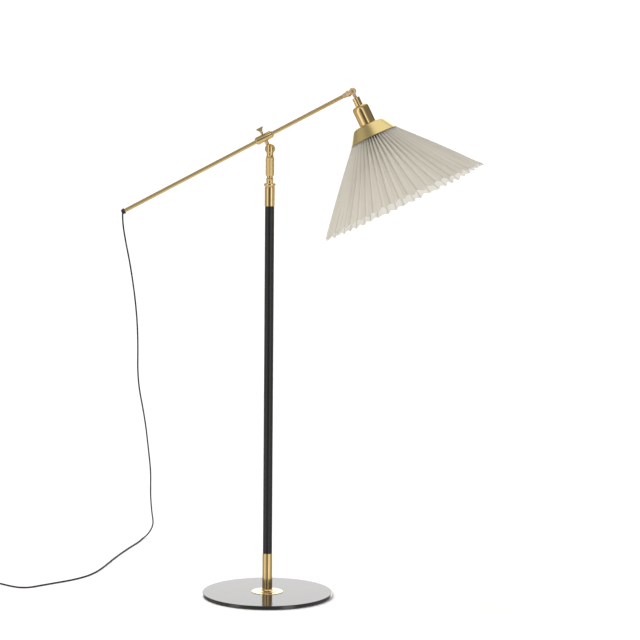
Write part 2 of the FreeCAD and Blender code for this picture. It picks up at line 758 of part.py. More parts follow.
def crown():
    """Brass hood over the shade's top: a flat ring that turns down into a cone."""
    wall = CROWN_WALL / math.cos(math.atan2(CROWN_BOTTOM_R - CROWN_TOP_R, CROWN_BOTTOM - CROWN_TOP))
    hole = HOLDER_R + SLIP
    outside = lathe(
        [(0, -CROWN_TOP), (CROWN_TOP_R, -CROWN_TOP), (CROWN_BOTTOM_R, -CROWN_BOTTOM), (0, -CROWN_BOTTOM)]
    )
    outside = outside.makeFillet(CROWN_ROUND, ring_edges(outside, CROWN_TOP_R, -CROWN_TOP))
    lid = CROWN_TOP + CROWN_WALL
    inside = lathe(
        [
            (0, -lid),
            (crown_radius(lid) - wall, -lid),
            (CROWN_BOTTOM_R - wall, -CROWN_BOTTOM),
            (0, -CROWN_BOTTOM),
        ]
    )
    inside = inside.makeFillet(
        CROWN_ROUND - CROWN_WALL, ring_edges(inside, crown_radius(lid) - wall, -lid)
    )
    return placed(outside.cut(inside).cut(rod(hole, -CROWN_BOTTOM, 0)), HEAD_FRAME)


def shade_carrier():
    """Vented hat under the crown: its hub is clamped on the socket, its brim holds the pleats."""
    hub_top = CROWN_TOP + CROWN_WALL
    brim_bottom = SHADE_TOP
    hole = HOLDER_R + SLIP
    hub_r = SHADE_RING_R + 1.5
    foot_r = valley_radius(SHADE_TOP) - sheet_shift(SHADE_TOP) - 3.2
    brim_r = ridge_radius(SHADE_TOP)
    spread = foot_r - hub_r
    t = CARRIER_T
    body = lathe(
        [
            (hole, -hub_top),
            (hub_r, -hub_top),
            (foot_r, -brim_bottom + t),
            (brim_r, -brim_bottom + t),
            (brim_r, -brim_bottom),
            (foot_r + 3.0, -brim_bottom),
            (foot_r + 3.0, -brim_bottom - 6),
            (foot_r + 1.6, -brim_bottom - 6),
            (foot_r - t, -brim_bottom),
            (hub_r - t, -hub_top - t),
            (hole, -hub_top - t),
        ]
    )
    height = brim_bottom - hub_top
    window = box(
        (hub_r - 3, -3.5, -brim_bottom + 0.2 * height), (hub_r + spread + 4, 3.5, -hub_top - 0.25 * height)
    )
    for i in range(CARRIER_WINDOWS):
        turn = Placement(Vector(0, 0, 0), Rotation(Vector(0, 0, 1), i * 360 / CARRIER_WINDOWS))
        body = body.cut(placed(window, turn))
    return placed(body, HEAD_FRAME)


def shade_ring():
    """Ring nut that clamps crown and carrier against the socket's flange."""
    bottom = -CROWN_TOP - CROWN_WALL - CARRIER_T - SHADE_RING_T
    body = tube(SHADE_RING_R, HOLDER_R + SEAT, bottom, bottom + SHADE_RING_T)
    notch = box((HOLDER_R + 2.5, -1.6, bottom), (SHADE_RING_R + 1, 1.6, bottom + 2))
    for i in range(12):
        turn = Placement(Vector(0, 0, 0), Rotation(Vector(0, 0, 1), i * 30))
        body = body.cut(placed(notch, turn))
    return placed(body, HEAD_FRAME)


# ================================================================ pleated shade
# One sheet folded into PLEATS pleats. A panel keeps its width from top to rim, so the folds are deep
# where they crowd together under the crown and open out towards the rim.
HALF_TURN = math.pi / PLEATS


def ridge_radius(depth):
    """Radius of the outer folds, a straight line that clears the crown's edge on its way down."""
    wall = CROWN_WALL / math.cos(math.atan2(CROWN_BOTTOM_R - CROWN_TOP_R, CROWN_BOTTOM - CROWN_TOP))
    under_crown = CROWN_BOTTOM_R - wall - AIR
    slope = (SHADE_RIM_R - under_crown) / (SHADE_RIM - CROWN_BOTTOM)
    return under_crown + slope * (depth - CROWN_BOTTOM)


def fold_depth(radius):
    """How far in the next fold lies, so that the panel between them is PLEAT_WIDTH wide."""
    across = 2 * radius * math.sin(HALF_TURN / 2)
    return math.sqrt(PLEAT_WIDTH**2 - across**2)


def valley_radius(depth):
    outer = ridge_radius(depth)
    return outer - fold_depth(outer - fold_depth(outer) / 2)


def sheet_shift(depth):
    """Radial distance between the sheet's two faces."""
    middle = (ridge_radius(depth) + valley_radius(depth)) / 2
    across = 2 * middle * math.sin(HALF_TURN / 2)
    return SHEET_T * PLEAT_WIDTH / across


def fold_point(i, level, face):
    """Corner of fold i at the top (level 0) or rim (level 1), on the outer or inner face."""
    is_ridge = i % 2 == 0
    depth = SHADE_RIM if level else SHADE_TOP
    radius = ridge_radius(depth) if is_ridge else valley_radius(depth)
    if face == "inner":
        radius -= sheet_shift(depth)
    if level and not is_ridge:
        depth -= VALLEY_RISE
    angle = i * HALF_TURN
    return Vector(radius * math.cos(angle), radius * math.sin(angle), -depth)


def creased(a, b, c, d):
    """Two flat triangles that fill the corners a, b, c, d, creased along a-c."""
    return [Part.Face(Part.makePolygon([a, p, q, a])) for p, q in ((b, c), (c, d))]


def pleated_shade():
    faces = []
    for i in range(2 * PLEATS):
        near, far = [
            {(level, face): fold_point(k, level, face) for level in (0, 1) for face in ("outer", "inner")}
            for k in (i, i + 1)
        ]
        for face in ("outer", "inner"):
            faces += creased(near[0, face], near[1, face], far[1, face], far[0, face])
        for level in (0, 1):
            faces += creased(
                near[level, "outer"], near[level, "inner"], far[level, "inner"], far[level, "outer"]
            )
    shell = Part.Shell(faces)
    shell.sewShape()
    solid = Part.Solid(shell)
    if solid.Volume < 0:
        solid.reverse()
    return placed(solid, HEAD_FRAME)


# ================================================================ bulb
def bulb_cap():
    top = -CAP_DEPTH
    body = lathe(
        [
            (0, top),
            (5, top),
            (CAP_R - 1.5, top - 4),
            (CAP_R, top - 5),
            (CAP_R, top - CAP_LENGTH),
            (0, top - CAP_LENGTH),
        ]
    )
    return placed(body, HEAD_FRAME)


def globe(inset):
    """Globe whose neck sweeps up into the cap, its outline moved in by inset."""
    top = -CAP_DEPTH - CAP_LENGTH
    radius = BULB_R - inset
    neck = BULB_NECK_R - inset
    centre = top - BULB_LENGTH + BULB_R

    def on_globe(angle):
        return (radius * math.cos(math.radians(angle)), centre + radius * math.sin(math.radians(angle)))

    shoulder = on_globe(38)
    bend = ((shoulder[0] + neck) / 2 - 1.6, (shoulder[1] + top) / 2 - 1.5)
    bottom = on_globe(-90)
    return turned(
        [
            line((0, top), (neck, top)),
            arc((neck, top), bend, shoulder),
            arc(shoulder, on_globe(-20), (0, bottom[1])),
            line((0, bottom[1]), (0, top)),
        ]
    )


def bulb_glass():
    return placed(globe(0).cut(globe(BULB_WALL)), HEAD_FRAME)


# ================================================================ cord
# Corners of the flex's route outside the arm: it leaves the grommet, hangs back in a sag, bends round
# where it meets the floor and comes forward along it to the coil.
CORD_ROUTE = [
    (-323.6, 0.0, 855.2),
    (-323.6, 0.0, 842.0),
    (-322.6, 5.0, 821.0),
    (-318.2, 18.0, 787.0),
    (-310.6, 38.0, 738.0),
    (-305.4, 62.0, 688.0),
    (-301.8, 87.0, 637.0),
    (-300.6, 113.0, 585.0),
    (-302.4, 141.0, 534.0),
    (-305.8, 171.0, 485.0),
    (-305.0, 203.0, 437.0),
    (-299.5, 236.0, 390.0),
    (-295.8, 271.0, 344.0),
    (-294.3, 308.0, 298.0),
    (-293.4, 347.0, 254.0),
    (-293.6, 389.0, 213.0),
    (-297.4, 433.0, 174.0),
    (-301.6, 479.0, 138.0),
    (-303.6, 526.0, 104.0),
    (-305.8, 576.0, 74.0),
    (-306.1, 606.0, 55.4),
    (-307.6, 629.7, 37.6),
    (-312.1, 638.5, 24.5),
    (-318.6, 639.1, 13.6),
    (-326.4, 633.5, 5.2),
    (-333.2, 623.3, 1.8),
    (-336.4, 601.7, 1.8),
    (-340.4, 571.7, 1.8),
    (-351.8, 523.0, 1.8),
    (-362.6, 474.0, 1.8),
    (-372.0, 424.0, 1.8),
    (-381.4, 372.0, 1.8),
    (-389.4, 318.0, 1.8),
    (-397.4, 266.0, 1.8),
    (-407.0, 219.0, 1.8),
    (-423.6, 173.0, 1.8),
    (-453.0, 131.0, 1.8),
    (-488.0, 99.0, 1.8),
    (-516.0, 73.0, 1.8),
    (-538.0, 51.0, 1.8),
    (-560.0, 48.0, 1.8),
    (-582.0, 61.0, 1.8),
    (-604.0, 81.0, 1.8),
    (-617.0, 93.0, 1.8),
    (-629.0, 99.6, 1.8),
    (-640.8, 101.2, 1.8),
]


def rounded_path(points):
    """Straight runs joined by tangent arcs as large as the two runs at each corner allow."""
    points = [Vector(*p) for p in points]
    edges = []
    radii = []
    start = points[0]
    for before, corner, after in zip(points, points[1:], points[2:]):
        back = (before - corner).normalize()
        ahead = (after - corner).normalize()
        half = (math.pi - back.getAngle(ahead)) / 2
        reach = 0.45 * min((corner - before).Length, (after - corner).Length)
        radius = reach / math.tan(half)
        radii.append(radius)
        first = corner + back * reach
        last = corner + ahead * reach
        middle = (back + ahead).normalize()
        inside = corner + middle * (radius / math.cos(half) - radius)
        edges.append(Part.LineSegment(start, first).toShape())
        edges.append(Part.Arc(first, inside, last).toShape())
        start = last
    edges.append(Part.LineSegment(start, points[-1]).toShape())
    return Part.Wire(edges), radii


def cord_run():
    path, radii = rounded_path(CORD_ROUTE)
    heading = Vector(*CORD_ROUTE[1]) - Vector(*CORD_ROUTE[0])
    disc = Part.Wire(Part.makeCircle(CORD_R, Vector(*CORD_ROUTE[0]), heading))
    run = path.makePipeShell([disc], True, True)
    wanted = math.pi * CORD_R**2 * path.Length
    print("cord run length %.1f, volume over section times length %.4f" % (path.Length, run.Volume / wanted))
    print("smallest radii", [round(r, 1) for r in sorted(radii)[:8]])
    return run


def cord_coil():
    """Outer shape of the wound spare length."""
    inner = COIL_MEAN_R - COIL_WIDE * CORD_R
    outer = COIL_MEAN_R + COIL_WIDE * CORD_R
    ring = tube(outer, inner, 0, COIL_HIGH * 2 * CORD_R)
    return placed(ring, Placement(COIL_CENTRE, Rotation()))


# The plug's frame: origin where its relief meets the coil's outer turn, +X towards its pins.
PLUG_START = COIL_CENTRE + Vector(
    -COIL_MEAN_R - COIL_WIDE * CORD_R - RELIEF_TIP_R - AIR, 2.0, PLUG_THICK / 2
)
PLUG_FRAME = Placement(PLUG_START, Rotation(Vector(0, 0, 1), 97))


def plug_relief():
    cone = Part.makeCone(RELIEF_TIP_R, PLUG_RELIEF_R, PLUG_RELIEF_LENGTH)
    return placed(toward_x(cone), PLUG_FRAME)


def plug_body():
    start = PLUG_RELIEF_LENGTH
    outline = [
        Vector(start, -PLUG_RELIEF_R - 0.8, 0),
        Vector(start + 9, -PLUG_WIDTH / 2, 0),
        Vector(start + PLUG_LENGTH, -PLUG_WIDTH / 2, 0),
        Vector(start + PLUG_LENGTH, PLUG_WIDTH / 2, 0),
        Vector(start + 9, PLUG_WIDTH / 2, 0),
        Vector(start, PLUG_RELIEF_R + 0.8, 0),
    ]
    face = Part.Face(Part.makePolygon(outline + outline[:1]))
    body = face.extrude(Vector(0, 0, PLUG_THICK))
    body.translate(Vector(0, 0, -PLUG_THICK / 2))
    body = body.makeFillet(2.5, [e for e in body.Edges if e.Length > 12 and abs(e.CenterOfMass.z) > 1])
    return placed(body, PLUG_FRAME)


def plug_pins():
    start = PLUG_RELIEF_LENGTH + PLUG_LENGTH
    pins = [
        toward_x(rod(PLUG_PIN_R, start, start + PLUG_PIN_LENGTH)).translated(
            Vector(0, side * PLUG_PIN_HALF_PITCH, 0)
        )
        for side in (-1, 1)
    ]
    return placed(Part.makeCompound(pins), PLUG_FRAME)


NODES = {
    "foot_pad": foot_pad,
    "foot_plate": foot_plate,
    "foot_washer": foot_washer,
    "foot_bolt": foot_bolt,
    "foot_flange": foot_flange,
    "lower_ferrule": lower_ferrule,
    "column_tube": column_tube,
    "column_plug": column_plug,
    "upper_ferrule": upper_ferrule,
    "guide_bush": guide_bush,
    "height_ring": height_ring,
    "mast_tube": mast_tube,
    "mast_shoe": mast_shoe,
    "mast_cap": mast_cap,
    "swivel_washer": swivel_washer,
    "yoke": yoke,
    "cross_pin": cross_pin,
    "grip": grip,
    "clamp_stud": clamp_stud,
    "clamp_barrel": clamp_barrel,
    "clamp_collar_rear": lambda: clamp_collar(-1),
    "clamp_collar_front": lambda: clamp_collar(1),
    "pressure_pad": pressure_pad,
    "thumbscrew": thumbscrew,
    "arm_tube": arm_tube,
    "cord_grommet": cord_grommet,
    "arm_lead": arm_lead,
    "elbow_ball": elbow_ball,
    "head_fork": head_fork,
    "pivot_screw": pivot_screw,
    "neck_cup": neck_cup,
    "socket_cup": socket_cup,
    "stem_nut": stem_nut,
    "holder_bridge": holder_bridge,
    "lamp_holder": lamp_holder,
    "holder_contact": holder_contact,
    "crown": crown,
    "shade_carrier": shade_carrier,
    "shade_ring": shade_ring,
    "pleated_shade": pleated_shade,
    "bulb_cap": bulb_cap,
    "bulb_glass": bulb_glass,
    "cord_run": cord_run,
    "cord_coil": cord_coil,
    "plug_relief": plug_relief,
    "plug_body": plug_body,
    "plug_pins": plug_pins,
}

os.makedirs("parts", exist_ok=True)
for name, make in NODES.items():
    solid = make()
    print("%-20s valid %s solids %d volume %.1f" % (name, solid.isValid(), len(solid.Solids), solid.Volume))
    solid.exportStep("parts/%s.step" % name)
print("clamp centre", CLAMP, "pivot", PIVOT, "ball", BALL)
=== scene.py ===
"""Bridge floor lamp: the finished pieces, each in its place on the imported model. Metres, +Z up, the arm in
the XZ plane with the shade towards +X."""

import json
import math

import bmesh
import bpy
import numpy as np
from mathutils import Matrix, Vector


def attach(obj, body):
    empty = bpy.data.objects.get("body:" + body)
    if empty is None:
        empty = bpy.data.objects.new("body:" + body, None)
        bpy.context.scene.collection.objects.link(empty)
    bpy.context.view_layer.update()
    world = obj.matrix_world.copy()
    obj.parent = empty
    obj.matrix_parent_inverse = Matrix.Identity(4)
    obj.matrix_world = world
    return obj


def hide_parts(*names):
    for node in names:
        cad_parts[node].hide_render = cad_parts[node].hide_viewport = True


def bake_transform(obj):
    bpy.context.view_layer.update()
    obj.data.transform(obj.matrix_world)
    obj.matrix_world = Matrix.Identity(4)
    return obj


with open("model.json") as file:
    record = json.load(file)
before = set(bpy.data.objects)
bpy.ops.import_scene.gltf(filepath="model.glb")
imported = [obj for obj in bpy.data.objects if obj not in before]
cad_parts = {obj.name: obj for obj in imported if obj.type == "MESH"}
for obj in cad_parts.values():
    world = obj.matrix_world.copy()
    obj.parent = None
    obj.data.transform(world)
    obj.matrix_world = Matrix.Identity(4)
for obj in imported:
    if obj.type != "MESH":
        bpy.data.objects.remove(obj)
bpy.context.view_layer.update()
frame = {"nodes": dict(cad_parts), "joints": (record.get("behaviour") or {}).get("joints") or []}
joints = {joint["name"]: joint for joint in frame["joints"]}

# ---------------------------------------------------------------- camera
# A long lens about as high as the swivel and four times the lamp's height from the column, tipped down by
# five degrees. It is rolled by half a degree, so the column leans a little to the right in the picture.
CAMERA_PLACE = Vector((0.11296, -4.46458, 1.02445))
CAMERA_PITCH = math.radians(5.177)
CAMERA_ROLL = math.radians(0.5)
LENS = 114.02
SENSOR_WIDTH = 36.0


def put_in(thing):
    """Links an object to the scene and hands it back."""
    bpy.context.scene.collection.objects.link(thing)
    return thing


camera = put_in(bpy.data.objects.new("camera", bpy.data.cameras.new("camera")))
level = Vector((1, 0, 0))
over = Vector((0, math.sin(CAMERA_PITCH), math.cos(CAMERA_PITCH)))
right = level * math.cos(CAMERA_ROLL) + over * math.sin(CAMERA_ROLL)
up = over * math.cos(CAMERA_ROLL) - level * math.sin(CAMERA_ROLL)
turned = Matrix((right, up, right.cross(up))).transposed().to_4x4()
camera.matrix_world = Matrix.Translation(CAMERA_PLACE) @ turned
camera.data.lens = LENS
camera.data.sensor_width = SENSOR_WIDTH
bpy.context.scene.camera = camera

# ---------------------------------------------------------------- flex
# One length of round black two-core flex, 3.6 mm thick and limp. It drops out of the grommet at the arm's
# rear end, hangs back to the floor, bends round there and comes forward to its wound spare turns.
# The hanging part is cut into four stretches at listed heights, with the arm, the clamp, the swivel and the
# mast named beside them in turn.
FLEX_R = 0.0018
# Control points of its spline, from the grommet to the spare turns.
FLEX_ROUTE = [
    (-0.3236, 0.0000, 0.8552),
    (-0.3236, 0.0000, 0.8420),
    (-0.3226, 0.0050, 0.8210),
    (-0.3182, 0.0180, 0.7870),
    (-0.3106, 0.0380, 0.7380),
    (-0.3054, 0.0620, 0.6880),
    (-0.3018, 0.0870, 0.6370),
    (-0.3006, 0.1130, 0.5850),
    (-0.3024, 0.1410, 0.5340),
    (-0.3058, 0.1710, 0.4850),
    (-0.3050, 0.2030, 0.4370),
    (-0.2995, 0.2360, 0.3900),
    (-0.2958, 0.2710, 0.3440),
    (-0.2943, 0.3080, 0.2980),
    (-0.2934, 0.3470, 0.2540),
    (-0.2936, 0.3890, 0.2130),
    (-0.2974, 0.4330, 0.1740),
    (-0.3016, 0.4790, 0.1380),
    (-0.3036, 0.5260, 0.1040),
    (-0.3058, 0.5760, 0.0740),
    (-0.3061, 0.6060, 0.0554),
    (-0.3076, 0.6297, 0.0376),
    (-0.3121, 0.6385, 0.0245),
    (-0.3186, 0.6391, 0.0136),
    (-0.3264, 0.6335, 0.0052),
    (-0.3332, 0.6233, 0.0018),
    (-0.3364, 0.6017, 0.0018),
    (-0.3404, 0.5717, 0.0018),
    (-0.3518, 0.5230, 0.0018),
    (-0.3626, 0.4740, 0.0018),
    (-0.3720, 0.4240, 0.0018),
    (-0.3814, 0.3720, 0.0018),
    (-0.3894, 0.3180, 0.0018),
    (-0.3974, 0.2660, 0.0018),
    (-0.4070, 0.2190, 0.0018),
    (-0.4236, 0.1730, 0.0018),
    (-0.4530, 0.1310, 0.0018),
    (-0.4880, 0.0990, 0.0018),
    (-0.5160, 0.0730, 0.0018),
    (-0.5380, 0.0510, 0.0018),
    (-0.5600, 0.0480, 0.0018),
    (-0.5820, 0.0610, 0.0018),
    (-0.6040, 0.0810, 0.0018),
    (-0.6170, 0.0930, 0.0018),
    (-0.6290, 0.0996, 0.0018),
    (-0.6408, 0.1012, 0.0018),
]
COIL_MIDDLE = (-0.6530, 0.1210)
COIL_START = math.radians(-98)
COIL_STEPS = 16
COIL_SHIFT_STEPS = 3
COIL_LAST_STEPS = 4
COIL_LANES = [
    (0.0198, 0.0018),
    (0.0162, 0.0018),
    (0.0162, 0.0054),
    (0.0162, 0.0090),
    (0.0198, 0.0090),
    (0.0198, 0.0054),
    (0.0232, 0.0054),
]
PLUG_APPROACH = [(-0.6770, 0.1165, 0.0063), (-0.6774, 0.1230, 0.0065)]


def coil_turns():
    """Control points of clockwise turns: a circle whose radius and height are those of the turn's lane, and
    which moves over evenly to the next lane in the turn's last steps."""
    points = []
    for step in range(COIL_STEPS * (len(COIL_LANES) - 1) + COIL_LAST_STEPS):
        turn, part = divmod(step, COIL_STEPS)
        share = min(max((part - COIL_STEPS + COIL_SHIFT_STEPS) / COIL_SHIFT_STEPS, 0), 1)
        here = COIL_LANES[turn]
        after = COIL_LANES[min(turn + 1, len(COIL_LANES) - 1)]
        radius, height = [a + share * (b - a) for a, b in zip(here, after)]
        angle = COIL_START - 2 * math.pi * step / COIL_STEPS
        x = COIL_MIDDLE[0] + radius * math.cos(angle)
        points.append((x, COIL_MIDDLE[1] + radius * math.sin(angle), height))
    return points


def spline_line(points):
    """Points along the NURBS spline that has these control points, as its own mesh gives them."""
    data = bpy.data.curves.new("flex_line", "CURVE")
    data.dimensions = "3D"
    data.resolution_u = 8
    spline = data.splines.new("NURBS")
    spline.points.add(len(points) - 1)
    spline.points.foreach_set("co", np.c_[points, np.ones(len(points))].ravel())
    spline.order_u = 3
    spline.use_endpoint_u = True
    holder = put_in(bpy.data.objects.new("flex_line", data))
    mesh = bpy.data.meshes.new_from_object(holder)
    line = np.array([vertex.co for vertex in mesh.vertices])
    bpy.data.objects.remove(holder)
    bpy.data.meshes.remove(mesh)
    return line


WELD = 1e-7


def surface(name, grid, uv, crease=35):
    """A mesh from a grid of points, one four-sided face to each cell, with its seam and poles welded shut."""
    rows, columns = grid.shape[:2]
    index = np.arange(rows * columns).reshape(rows, columns)
    cells = np.stack([index[:-1, :-1], index[:-1, 1:], index[1:, 1:], index[1:, :-1]], -1)
    cells = cells.reshape(-1, 4)
    mesh = bpy.data.meshes.new(name)
    mesh.from_pydata(grid.reshape(-1, 3).tolist(), [], cells.tolist())
    layer = mesh.uv_layers.new(name="UVMap")
    layer.data.foreach_set("uv", uv.reshape(-1, 2)[cells.ravel()].ravel())
    work = bmesh.new()
    work.from_mesh(mesh)
    bmesh.ops.remove_doubles(work, verts=work.verts, dist=WELD)
    bmesh.ops.dissolve_degenerate(work, edges=work.edges, dist=1e-8)
    bmesh.ops.recalc_face_normals(work, faces=work.faces)
    work.to_mesh(mesh)
    work.free()
    mesh.shade_smooth()
    mesh.set_sharp_from_angle(angle=math.radians(crease))
    return put_in(bpy.data.objects.new(name, mesh))


FLEX_SIDES = 16


def swept(name, line, radius, across):
    """A round section carried along a line: a circle in the plane of two directions square to the line, the
    first of them square to the direction given too. Its ends close on the line itself."""
    ahead = np.gradient(line, axis=0)
    ahead /= np.linalg.norm(ahead, axis=1, keepdims=True)
    side = np.cross(ahead, across)
    side /= np.linalg.norm(side, axis=1, keepdims=True)
    lift = np.cross(side, ahead)
    angle = np.linspace(0, 2 * math.pi, FLEX_SIDES + 1)[None, :, None]
    rings = line[:, None] + radius * (np.cos(angle) * side[:, None] + np.sin(angle) * lift[:, None])
    ends = [np.repeat(line[i][None, None], FLEX_SIDES + 1, axis=1) for i in (0, -1)]
    grid = np.concatenate([ends[0], rings, ends[1]])
    length = np.r_[0, np.cumsum(np.linalg.norm(np.diff(line, axis=0), axis=1))]
    length = np.r_[0, length, length[-1]]
    turn = np.linspace(0, 2 * math.pi * radius, FLEX_SIDES + 1)
    return surface(name, grid, np.stack(np.meshgrid(turn, length), -1))


class Value:
    """A number that varies over a surface. Arithmetic on it adds Math nodes to its finish."""

    def __init__(self, finish, socket):
        self.finish = finish
        self.socket = socket

    def math(self, operation, *others):
        return self.finish.node("ShaderNodeMath", {"operation": operation}, [self, *others])

    def __add__(self, other):
        return self.math("ADD", other)

    def __sub__(self, other):
        return self.math("SUBTRACT", other)

    def __mul__(self, other):
        return self.math("MULTIPLY", other)

    def __truediv__(self, other):
        return self.math("DIVIDE", other)

    def __neg__(self):
        return self.math("MULTIPLY", -1.0)

    def __rsub__(self, other):
        return self.finish.node("ShaderNodeMath", {"operation": "SUBTRACT"}, [other, self])

    __radd__ = __add__
    __rmul__ = __mul__

    def between(self, low, high):
        """0 up to low, 1 from high on, and an even S between them."""
        inputs = {"Value": self, "From Min": low, "From Max": high}
        return self.finish.node("ShaderNodeMapRange", {"interpolation_type": "SMOOTHSTEP"}, inputs)


class Finish:
    """The node tree of a material or a world."""

    def __init__(self, owner):
        owner.use_nodes = True
        self.owner = owner
        self.tree = owner.node_tree
        self.tree.nodes.clear()

    def node(self, kind, settings=(), inputs=(), output=0):
        """Adds a node, sets it up, feeds its inputs with values or other nodes, and returns one output."""
        added = self.tree.nodes.new(kind)
        for key, value in dict(settings).items():
            setattr(added, key, value)
        for key, value in inputs.items() if isinstance(inputs, dict) else enumerate(inputs):
            if isinstance(value, Value):
                self.tree.links.new(value.socket, added.inputs[key])
            else:
                added.inputs[key].default_value = value
        return Value(self, added.outputs[output]) if added.outputs else None

    def place(self, scale=(1, 1, 1), source="Object"):
        """Coordinates of the piece, or of its own unrolled surface, stretched by scale."""
        where = self.node("ShaderNodeTexCoord", output=source)
        return self.node("ShaderNodeMapping", {}, {"Vector": where, "Scale": scale})

    def noise(self, place, scale, detail=3.0):
        inputs = {"Vector": place, "Scale": scale, "Detail": detail}
        return self.node("ShaderNodeTexNoise", {"noise_dimensions": "3D"}, inputs)

    def blend(self, share, first, second):
        """One colour fading into another."""
        inputs = {"Factor": share, 6: first, 7: second}
        return self.node("ShaderNodeMix", {"data_type": "RGBA"}, inputs, 2)

    def bump(self, height, depth):
        return self.node("ShaderNodeBump", {}, {"Height": height, "Distance": depth, "Strength": 1.0})

    def shader(self, **inputs):
        named = {key.replace("_", " "): value for key, value in inputs.items()}
        return self.node("ShaderNodeBsdfPrincipled", {}, named)

    def done(self, shader):
        self.node("ShaderNodeOutputMaterial", {}, {"Surface": shader})
        return self.owner


def rgb(red, green, blue):
    return (red, green, blue, 1.0)


def black_flex():
    """Soft black sheath: nearly even, a little dull where it was handled, with a faint grain along it."""
    finish = Finish(bpy.data.materials.new("flex_black"))
    soft = finish.noise(finish.place((1, 1, 1), "UV"), 60.0)
    grain = finish.noise(finish.place((900, 90, 1), "UV"), 1.0)
    shader = finish.shader(
        Base_Color=finish.blend(soft, rgb(0.008, 0.008, 0.009), rgb(0.018, 0.018, 0.019)),
        Roughness=0.50 + 0.20 * soft,
        Normal=finish.bump(grain, 0.00005),
        Specular_IOR_Level=0.3,
    )
    return finish.done(shader)


def wear(piece, material, slot, body=None, *nodes):
    """Gives a piece its material, and where they are named its body and the nodes it stands for. The slot is
    not used.
    """
    piece.data.materials.clear()
    piece.data.materials.append(material)
    if body:
        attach(piece, body)
    if nodes:
        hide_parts(*nodes)
    return piece


FLEX = black_flex()
flex_line = spline_line(FLEX_ROUTE + coil_turns() + PLUG_APPROACH)
FLEX_STRETCHES = [
    ("flex_at_arm", 0.790, "arm", "clamp"),
    ("flex_upper", 0.450, "clamp", "swivel"),
    ("flex_middle", 0.100, "swivel", "mast"),
    ("flex_lower", 0.012, "mast", "stand"),
]


first = 0
for name, height, above, below in FLEX_STRETCHES:
    last = int(np.argmax(flex_line[:, 2] < height))
    stretch = flex_line[first : last + 1]
    hanging = swept(name, stretch, FLEX_R, (1, 0, 0))
    wear(hanging, FLEX, "flex")
    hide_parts("cord_run")
    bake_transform(hanging)
    first = last

lying = swept("flex_on_floor", flex_line[first:], FLEX_R, (0, 0, 1))
wear(lying, FLEX, "flex", "stand", "cord_run", "cord_coil")

# ---------------------------------------------------------------- floor and light
# A white paper floor in a soft studio. What polished metal mirrors is the room: two lit panels in front with
# a dark gap between them, a bright wall behind the lamp, a dim patch high on the right and one on either side
# of the wall, and a bright lid over a dim upper part.
FLOOR_LINE = np.linspace(-30, 30, 3)
floor_grid = np.stack(np.meshgrid(FLOOR_LINE, FLOOR_LINE, [0.0], indexing="ij"), -1)[:, :, 0]
floor = surface("floor", floor_grid, np.zeros((3, 3, 2)))
paper = Finish(bpy.data.materials.new("floor_paper"))
mottle = paper.noise(paper.place(), 3.0)
white = paper.blend(mottle, rgb(0.945, 0.945, 0.94), rgb(0.96, 0.96, 0.955))
floor.data.materials.append(paper.done(paper.shader(Base_Color=white, Roughness=0.9)))
floor.visible_glossy = False

room = Finish(bpy.data.worlds.new("room"))
bpy.context.scene.world = room.owner
where = room.node("ShaderNodeTexCoord", output="Generated")
east, north, high = [room.node("ShaderNodeSeparateXYZ", {}, [where], i) for i in range(3)]
# Degrees to the right of the front, the same to either side, and degrees above the floor's level.
bearing = east.math("ARCTAN2", -north) * (180 / math.pi)
away = bearing.math("ABSOLUTE")
rise = high.math("ARCSINE") * (180 / math.pi)


def strip(angle, middle, half, soft):
    """1 within half of the middle, fading out over soft either side of each edge, all in degrees."""
    risen = angle.between(middle - half - soft, middle - half + soft)
    fallen = angle.between(middle + half - soft, middle + half + soft)
    return risen * (1 - fallen)


left_lean = bearing - rise.math("MINIMUM", 0.0)
left_panel = strip(left_lean, -44, 10, 5) * strip(rise, -5, 30, 8)
right_lean = bearing + 2.0 * (rise - 2).math("MAXIMUM", 0.0)
right_panel = strip(right_lean, 39, 11, 5) * strip(rise, -5, 30, 8)
gap = strip(bearing, -2, 24, 10) * strip(rise, 2, 14, 7)
wall = away.between(150, 162)
beside_wall = strip(away, 133, 14, 8)
high_right = strip(bearing, 85, 54, 12) * strip(rise, 27, 16, 8)
around = 0.54 - 0.40 * gap + 0.84 * left_panel + 1.15 * right_panel
around = around - 0.18 * beside_wall + 1.40 * wall - 0.30 * high_right
upper = rise.between(34, 46)
lid = (rise + 17 * strip(bearing, 150, 40, 20)).between(60, 69)
ground = 1 - rise.between(-34, -14)
mirrored = around * (1 - upper) + 0.32 * upper + 0.82 * lid
mirrored = mirrored * (1 - ground) + 0.84 * ground
seen = room.node("ShaderNodeLightPath", output="Is Camera Ray")
glow = mirrored * (1 - seen) + 1.1 * seen
sky = room.node("ShaderNodeBackground", {}, {"Color": rgb(1.0, 0.995, 0.985), "Strength": glow})
room.node("ShaderNodeOutputWorld", {}, {"Surface": sky})
bpy.context.scene.view_settings.view_transform = "Standard"


def soft_sun(name, toward, spread, power):
    """Broad even light from far off that lights the scene but doesn't show in the metal."""
    data = bpy.data.lights.new(name, "SUN")
    data.angle = math.radians(spread)
    data.energy = power
    data.color = (1.0, 0.99, 0.97)
    light = put_in(bpy.data.objects.new(name, data))
    light.rotation_euler = Vector(toward).to_track_quat("-Z", "Y").to_euler()
    light.visible_glossy = False


soft_sun("light_over", toward=(0.50, -0.12, -0.86), spread=55, power=2.1)

# ---------------------------------------------------------------- foot
# A turned steel disc, lacquered black all over, on a felt pad. The lacquer is smooth enough to mirror the
# column and the bright wall, and its edge is broken by a small round.
UPRIGHT = Matrix.Identity(4)


def fit(node, place=UPRIGHT):
    """Widest radius about a place's own axis, and lowest and highest height along it, of a CAD node."""
    points = np.array([vertex.co for vertex in frame["nodes"][node].data.vertices])
    local = (points - np.array(place.translation)) @ np.array(place.to_3x3())
    return np.hypot(local[:, 0], local[:, 1]).max(), local[:, 2].min(), local[:, 2].max()


ROUND_STEPS = 5
ROUND_HOLD = 1.6


